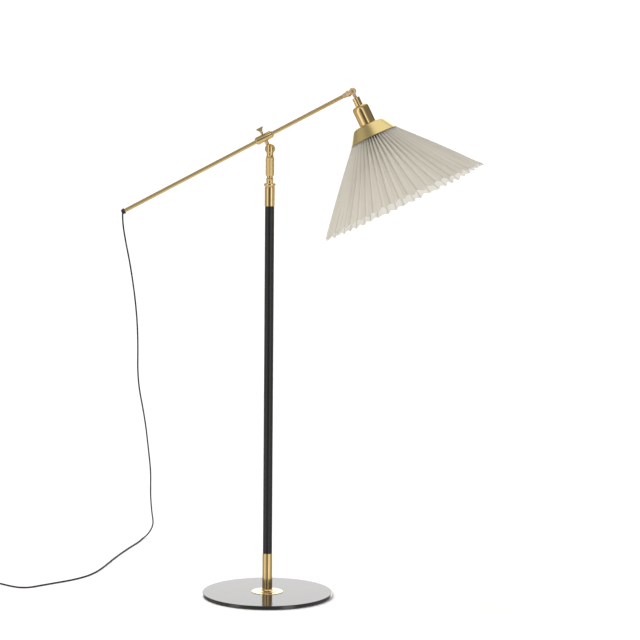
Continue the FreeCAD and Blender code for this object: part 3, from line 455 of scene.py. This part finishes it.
def outline(corners, closed):
    """Points of an outline of (radius, height, round) corners. A corner with a round is cut back by it on
    both sides and bridged by a parabola that touches both sides, with one more point a little further out on
    each side, up to ROUND_HOLD times the round, so the long faces beside it stay flat."""
    spots = np.array([(corner[0], corner[1]) for corner in corners], float)
    rounds = [corner[2] if len(corner) > 2 else 0 for corner in corners]
    share = np.linspace(0, 1, ROUND_STEPS)[:, None]
    parts = []
    for k, (spot, cut) in enumerate(zip(spots, rounds)):
        if not cut:
            parts.append(spot[None])
            continue
        touch = []
        for other in (k - 1, (k + 1) % len(spots)):
            side = spots[other] - spot
            length = np.linalg.norm(side)
            hold = cut * min(ROUND_HOLD, (1 + length / (cut + rounds[other])) / 2)
            touch += [spot + cut * side / length, spot + hold * side / length]
        start, before, end, after = touch
        bridge = (1 - share) ** 2 * start + 2 * share * (1 - share) * spot + share**2 * end
        parts.append(np.concatenate([before[None], bridge, after[None]]))
    points = np.concatenate(parts)
    return np.concatenate([points, points[:1]]) if closed else points


def lathe(name, corners, place=UPRIGHT, closed=False, turns=128, ripple=None, crease=35):
    """An outline turned about a place's own axis: radius r at height h comes to (r cos a, r sin a, h) at
    angle a. An open outline starts and ends on the axis. ripple(angle, height) is added to the radius."""
    points = outline(corners, closed)
    angle = np.linspace(0, 2 * math.pi, turns + 1)
    radius = np.repeat(points[:, :1], turns + 1, axis=1)
    height = np.repeat(points[:, 1:], turns + 1, axis=1)
    if ripple:
        radius = radius + ripple(angle[None, :], height) * (radius > 0)
    local = np.stack([radius * np.cos(angle), radius * np.sin(angle), height], -1)
    grid = local @ np.array(place.to_3x3()).T + np.array(place.translation)
    length = np.r_[0, np.cumsum(np.linalg.norm(np.diff(points, axis=0), axis=1))]
    across = angle * points[:, 0].max()
    return surface(name, grid, np.stack(np.meshgrid(across, length), -1), crease)


CAD_CREASE = math.radians(32)


def smoothed(name, node, bevel=0.0):
    """A welded copy of a CAD node, smooth where its faces meet gently, with its edges broken by a bevel."""
    mesh = frame["nodes"][node].data.copy()
    mesh.name = name
    work = bmesh.new()
    work.from_mesh(mesh)
    bmesh.ops.remove_doubles(work, verts=work.verts, dist=WELD)
    bmesh.ops.dissolve_limit(work, angle_limit=math.radians(0.5), verts=work.verts, edges=work.edges)
    work.to_mesh(mesh)
    work.free()
    mesh.materials.clear()
    mesh.shade_smooth()
    mesh.set_sharp_from_angle(angle=CAD_CREASE)
    piece = put_in(bpy.data.objects.new(name, mesh))
    if bevel:
        rounding = piece.modifiers.new("edges", "BEVEL")
        rounding.width = bevel
        rounding.segments = 2
        rounding.limit_method = "ANGLE"
        rounding.angle_limit = CAD_CREASE
    return piece


def black_lacquer(name, rough, coarse, peel_depth, ior):
    """Stoved black lacquer: a black that drifts a little, a gloss that drifts with it, and an orange peel."""
    finish = Finish(bpy.data.materials.new(name))
    cloud = finish.noise(finish.place(), 14.0)
    peel = finish.noise(finish.place(), coarse, 2.0)
    shader = finish.shader(
        Base_Color=finish.blend(cloud, rgb(0.008, 0.008, 0.008), rgb(0.014, 0.014, 0.0135)),
        Roughness=rough + 0.06 * cloud,
        Normal=finish.bump(peel, peel_depth),
        IOR=ior,
    )
    return finish.done(shader)


def felt():
    """Black felt: no gloss, and matted fibres that show as a fine mottle."""
    finish = Finish(bpy.data.materials.new("felt_black"))
    fibres = finish.noise(finish.place(), 900.0, 6.0)
    colour = finish.blend(fibres, rgb(0.012, 0.012, 0.012), rgb(0.05, 0.05, 0.05))
    return finish.done(finish.shader(Base_Color=colour, Roughness=0.95, Normal=finish.bump(fibres, 0.0003)))


FOOT_EDGE = 0.0012
FOOT_LACQUER = black_lacquer("foot_lacquer", 0.09, 500.0, 0.00002, 1.62)
foot_r, foot_low, foot_high = fit("foot_plate")
foot = lathe(
    "foot_disc",
    [(0, foot_low), (foot_r, foot_low, FOOT_EDGE), (foot_r, foot_high, FOOT_EDGE), (0, foot_high)],
    turns=256,
)
wear(foot, FOOT_LACQUER, "black_steel", "stand", "foot_plate", "foot_bolt", "foot_washer")
pad_r, pad_low, pad_high = fit("foot_pad")
pad = lathe("foot_felt", [(0, pad_low), (pad_r, pad_low), (pad_r, pad_high), (0, pad_high)])
wear(pad, felt(), "felt", "stand", "foot_pad")

# ---------------------------------------------------------------- foot flange
# A turned and polished brass rose: a thin disc that steps up once and then sweeps up to the ferrule. Its
# high polish mirrors the white room, so it looks nearly white at the sides.


def brass(name, tone, rough, lines=0.0):
    """Lacquered brass: its colour drifts a little between gold and brown, its gloss is finely uneven, and
    lines are the hair-thin marks that the polishing wheel or the lathe left round the piece."""
    finish = Finish(bpy.data.materials.new(name))
    drift = finish.noise(finish.place(), 22.0)
    haze = finish.noise(finish.place(), 300.0)
    brown = rgb(*(0.92 * c * s for c, s in zip(tone, (1.0, 0.97, 0.92))))
    gloss = rough + 0.03 * haze
    inputs = {"Base_Color": finish.blend(drift, rgb(*tone), brown), "Metallic": 1.0}
    if lines:
        marks = finish.noise(finish.place((30, 9000, 1), "UV"), 1.0, 2.0)
        inputs["Normal"] = finish.bump(marks, lines)
        gloss = gloss + 0.06 * marks
    return finish.done(finish.shader(Roughness=gloss, **inputs))


BRASS_BRIGHT = brass("brass_bright", (0.86, 0.66, 0.37), 0.10)
FLANGE_STEP_R = 0.0223
FLANGE_STEP_BEVEL = 0.0012
NECK_WALL = 0.0009
ferrule_r = fit("lower_ferrule")[0]
flange_r, flange_low, flange_high = fit("foot_flange")
sweep_foot = FLANGE_STEP_R - FLANGE_STEP_BEVEL
neck_r = ferrule_r + NECK_WALL
flange = lathe(
    "foot_rose",
    [
        (ferrule_r, flange_low),
        (flange_r, flange_low),
        (flange_r, flange_low + 0.0009, 0.0004),
        (FLANGE_STEP_R, flange_low + 0.0014),
        (FLANGE_STEP_R, flange_low + 0.0018, 0.0004),
        (sweep_foot, flange_low + 0.0022),
        (neck_r + 0.0028, flange_low + 0.0040, 0.0026),
        (neck_r, flange_high, 0.0002),
        (ferrule_r, flange_high),
    ],
    closed=True,
    turns=192,
)
wear(flange, BRASS_BRIGHT, "brass", "stand", "foot_flange")

# ---------------------------------------------------------------- column
# A steel tube lacquered black, between two brass ferrules pushed over its ends. A brass bush in its top
# guides the mast, and a flared lock ring stands on the bush.
COLUMN_LACQUER = black_lacquer("column_lacquer", 0.22, 900.0, 0.00003, 1.5)
GOLD = (0.80, 0.59, 0.28)
BRASS = brass("brass_polished", GOLD, 0.10)
BRASS_TURNED = brass("brass_turned", GOLD, 0.20, 0.000003)
TUBE_EDGE = 0.0002
COLUMN_WALL = 0.0012
FERRULE_WALL = 0.00085
FERRULE_EDGE = 0.0003
SEAT = 0.00005
BUSH_PLAY = 0.0001
RING_PLAY = 0.0002
column_r, _, column_high = fit("column_tube")


def pipe(name, node, wall, edge, place=UPRIGHT):
    """A plain tube where a CAD tube is, with its rims broken by a small round."""
    outer, low, high = fit(node, place)
    inner = outer - wall
    corners = [(inner, low), (outer, low, edge), (outer, high, edge), (inner, high)]
    return lathe(name, corners, place, closed=True)


sleeve = pipe("column_sleeve", "column_tube", COLUMN_WALL, TUBE_EDGE)
wear(sleeve, COLUMN_LACQUER, "black_steel", "stand", "column_tube")
for end in ("lower", "upper"):
    ferrule = pipe(end + "_band", end + "_ferrule", FERRULE_WALL, FERRULE_EDGE)
    wear(ferrule, BRASS, "brass", "stand", end + "_ferrule")

bush_r, bush_low, bush_high = fit("guide_bush")
mast_r, _, mast_top = fit("mast_tube")
bush_seat_r = column_r - COLUMN_WALL - SEAT
bush = lathe(
    "mast_bush",
    [
        (mast_r + BUSH_PLAY, bush_low),
        (bush_seat_r, bush_low),
        (bush_seat_r, column_high),
        (bush_r, column_high, 0.0002),
        (bush_r, bush_high, 0.0003),
        (mast_r + BUSH_PLAY, bush_high),
    ],
    closed=True,
)
wear(bush, BRASS_TURNED, "turned_brass", "stand", "guide_bush")

ring_r, ring_low, ring_high = fit("height_ring")
ring = lathe(
    "lock_ring",
    [
        (mast_r + RING_PLAY, ring_low),
        (column_r + 0.00135, ring_low, 0.0003),
        (ring_r - 0.0004, ring_low + 0.0024, 0.0006),
        (ring_r, ring_low + 0.0030, 0.0004),
        (ring_r, ring_high - 0.0012, 0.0005),
        (ring_r - 0.0010, ring_high, 0.0004),
        (mast_r + RING_PLAY, ring_high),
    ],
    closed=True,
    turns=160,
)
wear(ring, BRASS, "brass", "height_ring", "height_ring")

# ---------------------------------------------------------------- mast
# A thinner brass tube that slides out of the column, closed by a turned cap: a round bead, a groove, and
# the pin on which the swivel turns.
MAST_WALL = 0.0011
BEAD_H = 0.0060
GROOVE_R = 0.0068
GROOVE_H = 0.0030
PIN_R = 0.0040
wear(pipe("mast_pipe", "mast_tube", MAST_WALL, TUBE_EDGE), BRASS, "brass", "mast", "mast_tube")
cap_r, cap_low, cap_high = fit("mast_cap")
cap_seat_r = mast_r - MAST_WALL - SEAT
groove_top = mast_top + BEAD_H + GROOVE_H
cap = lathe(
    "mast_end",
    [
        (0, cap_low),
        (cap_seat_r, cap_low),
        (cap_seat_r, mast_top),
        (mast_r - 0.0003, mast_top),
        (cap_r + 0.0004, mast_top + BEAD_H / 2, 0.0026),
        (GROOVE_R, mast_top + BEAD_H),
        (GROOVE_R, groove_top, 0.0002),
        (PIN_R, groove_top),
        (PIN_R, cap_high),
        (0, cap_high),
    ],
)
wear(cap, BRASS, "brass", "mast", "mast_cap")

# ---------------------------------------------------------------- swivel
# A turned brass post that sits on the mast's pin: a shank under the grip, a waisted neck, and a slot across
# its top that leaves two round cheeks for the ball. A brass pin through the cheeks carries the ball.
wear(smoothed("swivel_post", "yoke", 0.00025), BRASS, "brass", "swivel", "yoke")
wear(smoothed("swivel_pin", "cross_pin", 0.0003), BRASS_TURNED, "turned_brass", "swivel", "cross_pin")

# ---------------------------------------------------------------- grip
# The sleeve that the hand turns, cut all over with a fine diamond knurl between two plain chamfers.
BRASS_KNURLED = brass("brass_knurled", (0.95, 0.73, 0.36), 0.42)
KNURLS_ROUND = 60
KNURL_PITCH = 0.00098
KNURL_DEPTH = 0.00018
KNURL_ROWS = 161
GRIP_CHAMFER = 0.0009
GRIP_BORE = 0.0081
grip_r, grip_low, grip_high = fit("grip")


def diamonds(angle, height):
    """Two sets of helical V grooves that cross: the deeper of two triangle waves in angle plus and minus
    height, from one and a half chamfers inside each end."""
    turn = angle * KNURLS_ROUND / (2 * math.pi)
    climb = height / KNURL_PITCH
    waves = [np.abs(((across % 1.0) * 2) - 1) for across in (turn + climb, turn - climb)]
    cut = (height > grip_low + 1.5 * GRIP_CHAMFER) & (height < grip_high - 1.5 * GRIP_CHAMFER)
    return -KNURL_DEPTH * np.maximum(*waves) * cut


knurl_heights = np.linspace(grip_low + GRIP_CHAMFER, grip_high - GRIP_CHAMFER, KNURL_ROWS)
grip = lathe(
    "grip_knurled",
    [(grip_r - GRIP_CHAMFER, grip_low)]
    + [(grip_r, height) for height in knurl_heights]
    + [(grip_r - GRIP_CHAMFER, grip_high), (GRIP_BORE, grip_high), (GRIP_BORE, grip_low)],
    closed=True,
    turns=4 * KNURLS_ROUND,
    ripple=diamonds,
    crease=50,
)
wear(grip, BRASS_KNURLED, "turned_brass", "grip", "grip")

# ---------------------------------------------------------------- clamp
# A brass barrel with chamfered ends and a bearing collar in each, on a ball and stud that the swivel's
# cheeks pinch. The arm slides through it and a thumbscrew holds it.
BRASS_SATIN = brass("brass_satin", (0.90, 0.68, 0.42), 0.40)
BRASS_DRAWN = brass("brass_drawn", (0.82, 0.62, 0.31), 0.17)
ARM_SLOPE = math.radians(28.0)
BEARING_BORE = 0.00455
CLAMP_PLACE = Vector(joints["screw_turn"]["pos_m"])
ALONG_ARM = Matrix.Translation(CLAMP_PLACE) @ Matrix.Rotation(math.pi / 2 - ARM_SLOPE, 4, "Y")
wear(smoothed("clamp_ball", "clamp_stud", 0.0002), BRASS_SATIN, "brass", "clamp", "clamp_stud")
wear(smoothed("clamp_body", "clamp_barrel", 0.00025), BRASS_DRAWN, "brass", "clamp", "clamp_barrel")
for end in ("rear", "front"):
    node = "clamp_collar_" + end
    wall = fit(node, ALONG_ARM)[0] - BEARING_BORE
    collar = pipe("bearing_" + end, node, wall, 0.0006, ALONG_ARM)
    wear(collar, BRASS_TURNED, "turned_brass", "clamp", node)

# ---------------------------------------------------------------- thumbscrew
# A turned brass screw, duller than the rest, with a thin neck that flares like a trumpet to its round head.
# The rim of the head is cut with fine straight grooves.
BRASS_DULL = brass("brass_dull", (0.56, 0.48, 0.31), 0.22)
RIM_GROOVES = 48
GROOVE_DEPTH = 0.00032
THREAD_R = 0.0020
THREAD_LENGTH = 0.0044
SCREW_PLACE = ALONG_ARM @ Matrix.Rotation(-math.pi / 2, 4, "Y")
screw_r, screw_low, screw_high = fit("thumbscrew", SCREW_PLACE)
rim_low = screw_high - 0.0028


def rim_grooves(angle, height):
    """A cosine in the angle, on the head's rim alone."""
    on_rim = (height > rim_low) & (height < screw_high - 0.0008)
    return GROOVE_DEPTH * (np.cos(angle * RIM_GROOVES) - 1) / 2 * on_rim


screw = lathe(
    "thumb_screw",
    [
        (0, screw_low),
        (THREAD_R, screw_low),
        (THREAD_R, screw_low + THREAD_LENGTH),
        (0.0027, screw_low + THREAD_LENGTH, 0.0002),
        (0.0030, screw_low + 0.0105, 0.0035),
        (screw_r, rim_low, 0.0003),
        (screw_r, screw_high - 0.0009, 0.0003),
        (screw_r - 0.0012, screw_high - 0.0004, 0.0006),
        (0, screw_high),
    ],
    SCREW_PLACE,
    turns=RIM_GROOVES * 6,
    ripple=rim_grooves,
)
wear(screw, BRASS_DULL, "brass", "thumbscrew", "thumbscrew")

# ---------------------------------------------------------------- arm
# A drawn brass tube, polished along its length, with a black rubber grommet in its rear end that turns the
# flex down to the floor.
ARM_WALL = 0.0009
arm = pipe("arm_pipe", "arm_tube", ARM_WALL, TUBE_EDGE, ALONG_ARM)
wear(arm, BRASS_DRAWN, "brass", "arm", "arm_tube")


def black_rubber():
    """Moulded black rubber: dull, with a paler bloom in soft patches."""
    finish = Finish(bpy.data.materials.new("rubber_black"))
    bloom = finish.noise(finish.place(), 160.0)
    colour = finish.blend(bloom, rgb(0.012, 0.012, 0.012), rgb(0.030, 0.030, 0.031))
    return finish.done(finish.shader(Base_Color=colour, Roughness=0.55 + 0.15 * bloom))


RUBBER = black_rubber()
wear(smoothed("rear_grommet", "cord_grommet", 0.0004), RUBBER, "black_plastic", "arm", "cord_grommet")

# ---------------------------------------------------------------- elbow
# A brass ball on the arm's front end, with a collar round the tube and a flat tongue. The head's fork holds
# the tongue between its two round cheeks with a slotted screw, and a domed cover sits on each cheek, so that
# the joint looks like one round knob.
wear(smoothed("elbow_knuckle", "elbow_ball", 0.0003), BRASS_SATIN, "brass", "elbow", "elbow_ball")
HEAD_TILT = math.radians(25.6)
HEAD_ROLL = math.radians(-4.7)
PIVOT_PLACE = Vector(joints["head_tilt"]["pos_m"])
ARM_DIRECTION = Vector((math.cos(ARM_SLOPE), 0, math.sin(ARM_SLOPE)))
ROLLED = Matrix.Rotation(HEAD_ROLL, 4, ARM_DIRECTION)
DOWN_HEAD = Matrix.Translation(PIVOT_PLACE) @ ROLLED @ Matrix.Rotation(-HEAD_TILT, 4, "Y")
COVER_R = 0.00785
COVER_FLAT_R = 0.0046
COVER_INNER = 0.0030
COVER_SHOULDER = 0.0051
COVER_TOP = 0.0065
knuckle = smoothed("head_knuckle", "head_fork", 0.0003)
wear(knuckle, BRASS_SATIN, "brass", "head", "head_fork")
for end, turn in (("near", math.pi / 2), ("far", -math.pi / 2)):
    outward = DOWN_HEAD @ Matrix.Rotation(turn, 4, "X")
    cheek = lathe(
        "head_cheek_" + end,
        [
            (0, COVER_INNER),
            (COVER_R, COVER_INNER),
            (COVER_R, COVER_SHOULDER, 0.0021),
            (COVER_FLAT_R, COVER_TOP, 0.0020),
            (0, COVER_TOP),
        ],
        outward,
        turns=64,
    )
    wear(cheek, BRASS_SATIN, "brass", "head")
wear(smoothed("head_screw", "pivot_screw", 0.0002), BRASS_TURNED, "turned_brass", "head", "pivot_screw")

# ---------------------------------------------------------------- socket cup
# Two spun brass cups on the fork's stem: a small open one with a thin rim, and the large one with round
# shoulders that covers the lamp holder.
STEM_R = 0.00375
SMALL_CUP_R = 0.0085
SMALL_CUP_FLOOR = 0.0016
SMALL_RIM_T = 0.0010
small_rim_r, small_low, small_high = fit("neck_cup", DOWN_HEAD)
small_bore_r = SMALL_CUP_R - 0.0008
small_cup = lathe(
    "neck_collar",
    [
        (STEM_R, small_low),
        (SMALL_CUP_R, small_low, 0.0006),
        (SMALL_CUP_R, small_high - SMALL_RIM_T),
        (small_rim_r, small_high - SMALL_RIM_T, 0.0003),
        (small_rim_r, small_high, 0.0003),
        (small_bore_r, small_high),
        (small_bore_r, small_low + SMALL_CUP_FLOOR, 0.0006),
        (STEM_R, small_low + SMALL_CUP_FLOOR),
    ],
    DOWN_HEAD,
    closed=True,
)
wear(small_cup, BRASS, "brass", "head", "neck_cup")

CUP_WALL = 0.0009
CUP_ROUND = 0.0065
cup_r, cup_low, cup_high = fit("socket_cup", DOWN_HEAD)
cup = lathe(
    "holder_cup",
    [
        (STEM_R, cup_high),
        (cup_r, cup_high, 1.25 * CUP_ROUND),
        (cup_r, cup_low, 0.0002),
        (cup_r - CUP_WALL, cup_low),
        (cup_r - CUP_WALL, cup_high - CUP_WALL, CUP_ROUND),
        (STEM_R, cup_high - CUP_WALL),
    ],
    DOWN_HEAD,
    closed=True,
    turns=160,
)
wear(cup, BRASS, "brass", "head", "socket_cup")

# ---------------------------------------------------------------- crown
# A spun brass hood, a flat ring that turns down into a cone, with fine lines round it from the lathe. It
# hides the top of the pleats.
BRASS_SPUN = brass("brass_spun", (0.80, 0.64, 0.29), 0.24, 0.000005)
CROWN_WALL = 0.0008
CROWN_SLANT_WALL = 1.2 * CROWN_WALL
CROWN_ROUND = 0.0045
CROWN_FLARE = 0.0198
HOLDER_HOLE_R = 0.0169
crown_r, crown_low, crown_high = fit("crown", DOWN_HEAD)
crown_top_r = crown_r - CROWN_FLARE
hood = lathe(
    "crown_hood",
    [
        (HOLDER_HOLE_R, crown_high),
        (crown_top_r, crown_high, CROWN_ROUND),
        (crown_r, crown_low, 0.0002),
        (crown_r - CROWN_SLANT_WALL, crown_low),
        (crown_top_r - CROWN_SLANT_WALL, crown_high - CROWN_WALL, CROWN_ROUND),
        (HOLDER_HOLE_R, crown_high - CROWN_WALL),
    ],
    DOWN_HEAD,
    closed=True,
    turns=192,
)
wear(hood, BRASS_SPUN, "brass", "head", "crown")

# ---------------------------------------------------------------- pleated shade
# One stiff matt white sheet folded by hand into pleats and drawn together at the top. A panel keeps its
# width, so the folds are deep under the crown and open towards the rim. No two folds are quite alike, and
# the inner folds end a little higher than the outer ones.
PLEATS = 56
HALF_TURN = math.pi / PLEATS
PANEL_WIDTH = 0.0122
PANEL_STEPS = 4
LENGTH_STEPS = 28
SHEET_T = 0.0004
SHEET_V = 0.36
SHEET_PLAY = 0.00035
BULGE = 0.0016
VALLEY_RISE = 0.005
RIM_DROP = 0.0055
RIM_DROP_SWING = 0.0022
FOLD_WANDER = 0.19
FOLD_BEND = 0.10
RIM_WANDER = 0.0012
shade_rim_r, shade_low, shade_high = fit("pleated_shade", DOWN_HEAD)
under_crown_r = crown_r - CROWN_SLANT_WALL - SHEET_PLAY
spread = (crown_low - shade_high) / (crown_low - shade_low)
shade_top_r = under_crown_r + (shade_rim_r - under_crown_r) * spread


def pleated_sheet():
    """Outer and inner face of the folded sheet. The outer folds' radius grows evenly from top to rim, with a
    slight bulge: a half sine. The next fold lies inside it by the depth that keeps a panel its own width: the
    square root of the width squared less the distance between the folds along the circle squared. A panel is
    straight between its two folds. Chance moves a fold's foot sideways and down, and bends it like a sine."""
    chance = np.random.default_rng(7)
    folds = 2 * PLEATS
    down = np.linspace(0, 1, LENGTH_STEPS + 1)[:, None]
    ridge = shade_top_r + (shade_rim_r - shade_top_r) * down + BULGE * np.sin(down * math.pi)

    def depth_at(radius):
        return np.sqrt(PANEL_WIDTH**2 - (2 * radius * np.sin(HALF_TURN / 2)) ** 2)

    valley = ridge - depth_at(ridge - depth_at(ridge) / 2)
    wander = chance.normal(0, FOLD_WANDER, folds) * HALF_TURN
    lift = chance.normal(0, RIM_WANDER, folds)
    bend = chance.uniform(-1, 1, folds) * HALF_TURN * FOLD_BEND
    wave = chance.uniform(2.0, 4.0, folds)
    fold = np.arange(folds)
    is_ridge = fold % 2 == 0
    radius = np.where(is_ridge, ridge, valley) + lift * down**2 * 0.6
    turn = fold * HALF_TURN + wander * down + bend * np.sin(wave * down * math.pi) * down
    drop = RIM_DROP - RIM_DROP_SWING * np.cos(fold * HALF_TURN)
    height = shade_high + (shade_low - drop - shade_high) * down
    height = height + np.where(is_ridge, 0, VALLEY_RISE) * down + lift * down**4

    def line_of(number):
        """Points down each numbered fold. Past the last fold comes the first one again, a whole turn on."""
        lap, number = np.divmod(number, folds)
        angle = turn[:, number] + 2 * math.pi * lap
        reach = radius[:, number]
        return np.stack([reach * np.cos(angle), reach * np.sin(angle), height[:, number]], -1)

    columns = np.arange(folds * PANEL_STEPS + 1)
    here = line_of(columns // PANEL_STEPS)
    after = line_of(columns // PANEL_STEPS + 1)
    outer = here + (after - here) * (columns % PANEL_STEPS / PANEL_STEPS)[:, None]
    middle = (ridge + valley) / 2
    shift = SHEET_T * PANEL_WIDTH / (2 * middle * np.sin(HALF_TURN / 2))
    inner = outer.copy()
    inner[..., :2] *= (1 - shift / np.hypot(outer[..., 0], outer[..., 1]))[..., None]
    grid = np.concatenate([outer, inner[::-1], outer[:1]])
    across = np.linspace(0, folds * PANEL_WIDTH, grid.shape[1])
    along = np.linspace(0, SHEET_V, len(grid))
    return grid, np.stack(np.meshgrid(across, along), -1)


CREASE_HALF = 0.0011


def white_sheet():
    """Stiff matt sheet that lets a little light through: part of the light scatters back and part of it on
    through. It has a faint fibre in it and panels that differ a little in tone at random. Its inside face is
    painted whiter, which is painted light that stands in for the light coming through the far side of the
    shade. A thin painted shade line darkens each hollow fold, which is the inner one outside and the outer
    one inside, and a softer painted shade lies beside it. Near the top the outside is painted lighter, which
    is painted light against the shade under the crown, and there its hollows get a broad painted shade."""
    finish = Finish(bpy.data.materials.new("sheet_white"))
    fibre = finish.noise(finish.place(), 260.0, 5.0)
    cloud = finish.noise(finish.place(), 18.0)
    unrolled = finish.node("ShaderNodeTexCoord", output="UV")
    across, along = [finish.node("ShaderNodeSeparateXYZ", {}, [unrolled], i) for i in range(2)]
    fold = across / (2 * PANEL_WIDTH)
    inside = along.between(SHEET_V / 2 - 0.0005, SHEET_V / 2 + 0.0015)
    top = 1 - along.between(0.0, SHEET_V / 3)
    off_fold = ((fold + 0.5 * inside).math("FRACT") - 0.5).math("ABSOLUTE") * (2 * PANEL_WIDTH)
    # Masks of painted shade: a thin line on each hollow fold, a softer band beside it, and broad dark hollows
    # near the top.
    crease = 1 - off_fold.between(0.1 * CREASE_HALF, CREASE_HALF)
    soft = 1 - off_fold.between(0.0, 5 * CREASE_HALF)
    deep = (1 - off_fold.between(0.0015, 0.0105)) * top
    panel = {"W": (2 * fold).math("FLOOR")}
    shade_of_panel = finish.node("ShaderNodeTexWhiteNoise", {"noise_dimensions": "1D"}, panel)
    colour = finish.blend(cloud, rgb(0.70, 0.665, 0.595), rgb(0.66, 0.63, 0.56))
    colour = finish.blend(0.5 * shade_of_panel, colour, rgb(0.61, 0.58, 0.51))
    # Painted light: near the top the outside is lighter, against the shade under the crown.
    colour = finish.blend(0.75 * top, colour, rgb(0.92, 0.89, 0.82))
    # Painted light: the inside face is whiter, standing in for the light that comes through the far side.
    colour = finish.blend(inside, colour, rgb(0.93, 0.91, 0.87))
    # Painted shade: the hollow folds are darkened towards a dark brown.
    painted_fold_shade = 0.62 * crease + 0.16 * soft + 0.75 * deep
    colour = finish.blend(painted_fold_shade, colour, rgb(0.26, 0.235, 0.19))
    normal = finish.bump(fibre, 0.00005)
    front = finish.shader(Base_Color=colour, Roughness=0.62 + 0.12 * fibre, Normal=normal)
    warm = {"Color": rgb(0.80, 0.77, 0.70), "Normal": normal}
    through = finish.node("ShaderNodeBsdfTranslucent", {}, warm)
    return finish.done(finish.node("ShaderNodeMixShader", {}, [0.28, front, through]))


local_grid, sheet_uv = pleated_sheet()
shade_grid = local_grid @ np.array(DOWN_HEAD.to_3x3()).T + np.array(PIVOT_PLACE)
shade = surface("shade_pleats", shade_grid, sheet_uv, crease=14)
wear(shade, white_sheet(), "pleated_sheet", "head", "pleated_shade")

# ---------------------------------------------------------------- inside the shade
# The black moulded lamp holder with its ring nut, the vented steel hat that spreads the pleats, and a
# frosted globe in its screw cap. They only show from below.


def moulded_black():
    """Hard black moulding with a soft sheen that is a little uneven."""
    finish = Finish(bpy.data.materials.new("moulded_black"))
    cloud = finish.noise(finish.place(), 220.0)
    colour = finish.blend(cloud, rgb(0.012, 0.011, 0.011), rgb(0.024, 0.022, 0.021))
    return finish.done(finish.shader(Base_Color=colour, Roughness=0.28 + 0.12 * cloud))


def plain_steel():
    """Plated steel, clouded in tone and gloss."""
    finish = Finish(bpy.data.materials.new("steel_plated"))
    cloud = finish.noise(finish.place(), 300.0)
    colour = finish.blend(cloud, rgb(0.62, 0.62, 0.61), rgb(0.50, 0.50, 0.50))
    return finish.done(finish.shader(Base_Color=colour, Metallic=1.0, Roughness=0.30 + 0.12 * cloud))


def frosted_glass():
    """White frosted glass that lets some light through, with a fine etched grain."""
    finish = Finish(bpy.data.materials.new("glass_frosted"))
    grain = finish.noise(finish.place(), 1500.0)
    colour = finish.blend(grain, rgb(0.93, 0.93, 0.92), rgb(0.88, 0.88, 0.87))
    shader = finish.shader(Base_Color=colour, Roughness=0.35 + 0.1 * grain, Transmission_Weight=0.35)
    return finish.done(shader)


MOULDED = moulded_black()
STEEL = plain_steel()
wear(smoothed("holder_body", "lamp_holder", 0.0003), MOULDED, "black_plastic", "head", "lamp_holder")
wear(smoothed("holder_ring", "shade_ring", 0.0003), MOULDED, "black_plastic", "head", "shade_ring")
wear(smoothed("shade_hat", "shade_carrier", 0.0002), STEEL, "steel", "head", "shade_carrier")
wear(smoothed("lamp_globe", "bulb_glass"), frosted_glass(), "bulb_glass", "head", "bulb_glass")
THREAD_PITCH = 0.0036
THREAD_DEPTH = 0.0010
THREAD_ROWS = 61
globe_cap_r, globe_cap_low, globe_cap_high = fit("bulb_cap", DOWN_HEAD)


def thread(angle, height):
    """A rolled round thread: a sine that climbs one pitch a turn, on the cap's straight part."""
    straight = (height < globe_cap_high - 0.0055) & (height > globe_cap_low + 0.001)
    return THREAD_DEPTH * (np.sin(angle - 2 * math.pi * height / THREAD_PITCH) - 1) / 2 * straight


thread_heights = np.linspace(globe_cap_low, globe_cap_high - 0.005, THREAD_ROWS)
globe_cap = lathe(
    "globe_cap",
    [(0, globe_cap_low)]
    + [(globe_cap_r, height) for height in thread_heights]
    + [(globe_cap_r - 0.0015, globe_cap_high - 0.004), (0.005, globe_cap_high), (0, globe_cap_high)],
    DOWN_HEAD,
    ripple=thread,
)
wear(globe_cap, STEEL, "nickel", "head", "bulb_cap")

# ---------------------------------------------------------------- pieces kept as they are
# Plain turned, cut or moulded pieces that hardly show: they keep their shape and get their finish.
KEPT = {
    "column_plug": STEEL,
    "mast_shoe": MOULDED,
    "swivel_washer": BRASS_TURNED,
    "pressure_pad": MOULDED,
    "arm_lead": FLEX,
    "stem_nut": BRASS_TURNED,
    "holder_bridge": STEEL,
    "holder_contact": BRASS_TURNED,
    "plug_relief": RUBBER,
    "plug_body": RUBBER,
    "plug_pins": BRASS_TURNED,
}
for node, material in KEPT.items():
    mesh = frame["nodes"][node].data
    mesh.materials.clear()
    mesh.materials.append(material)
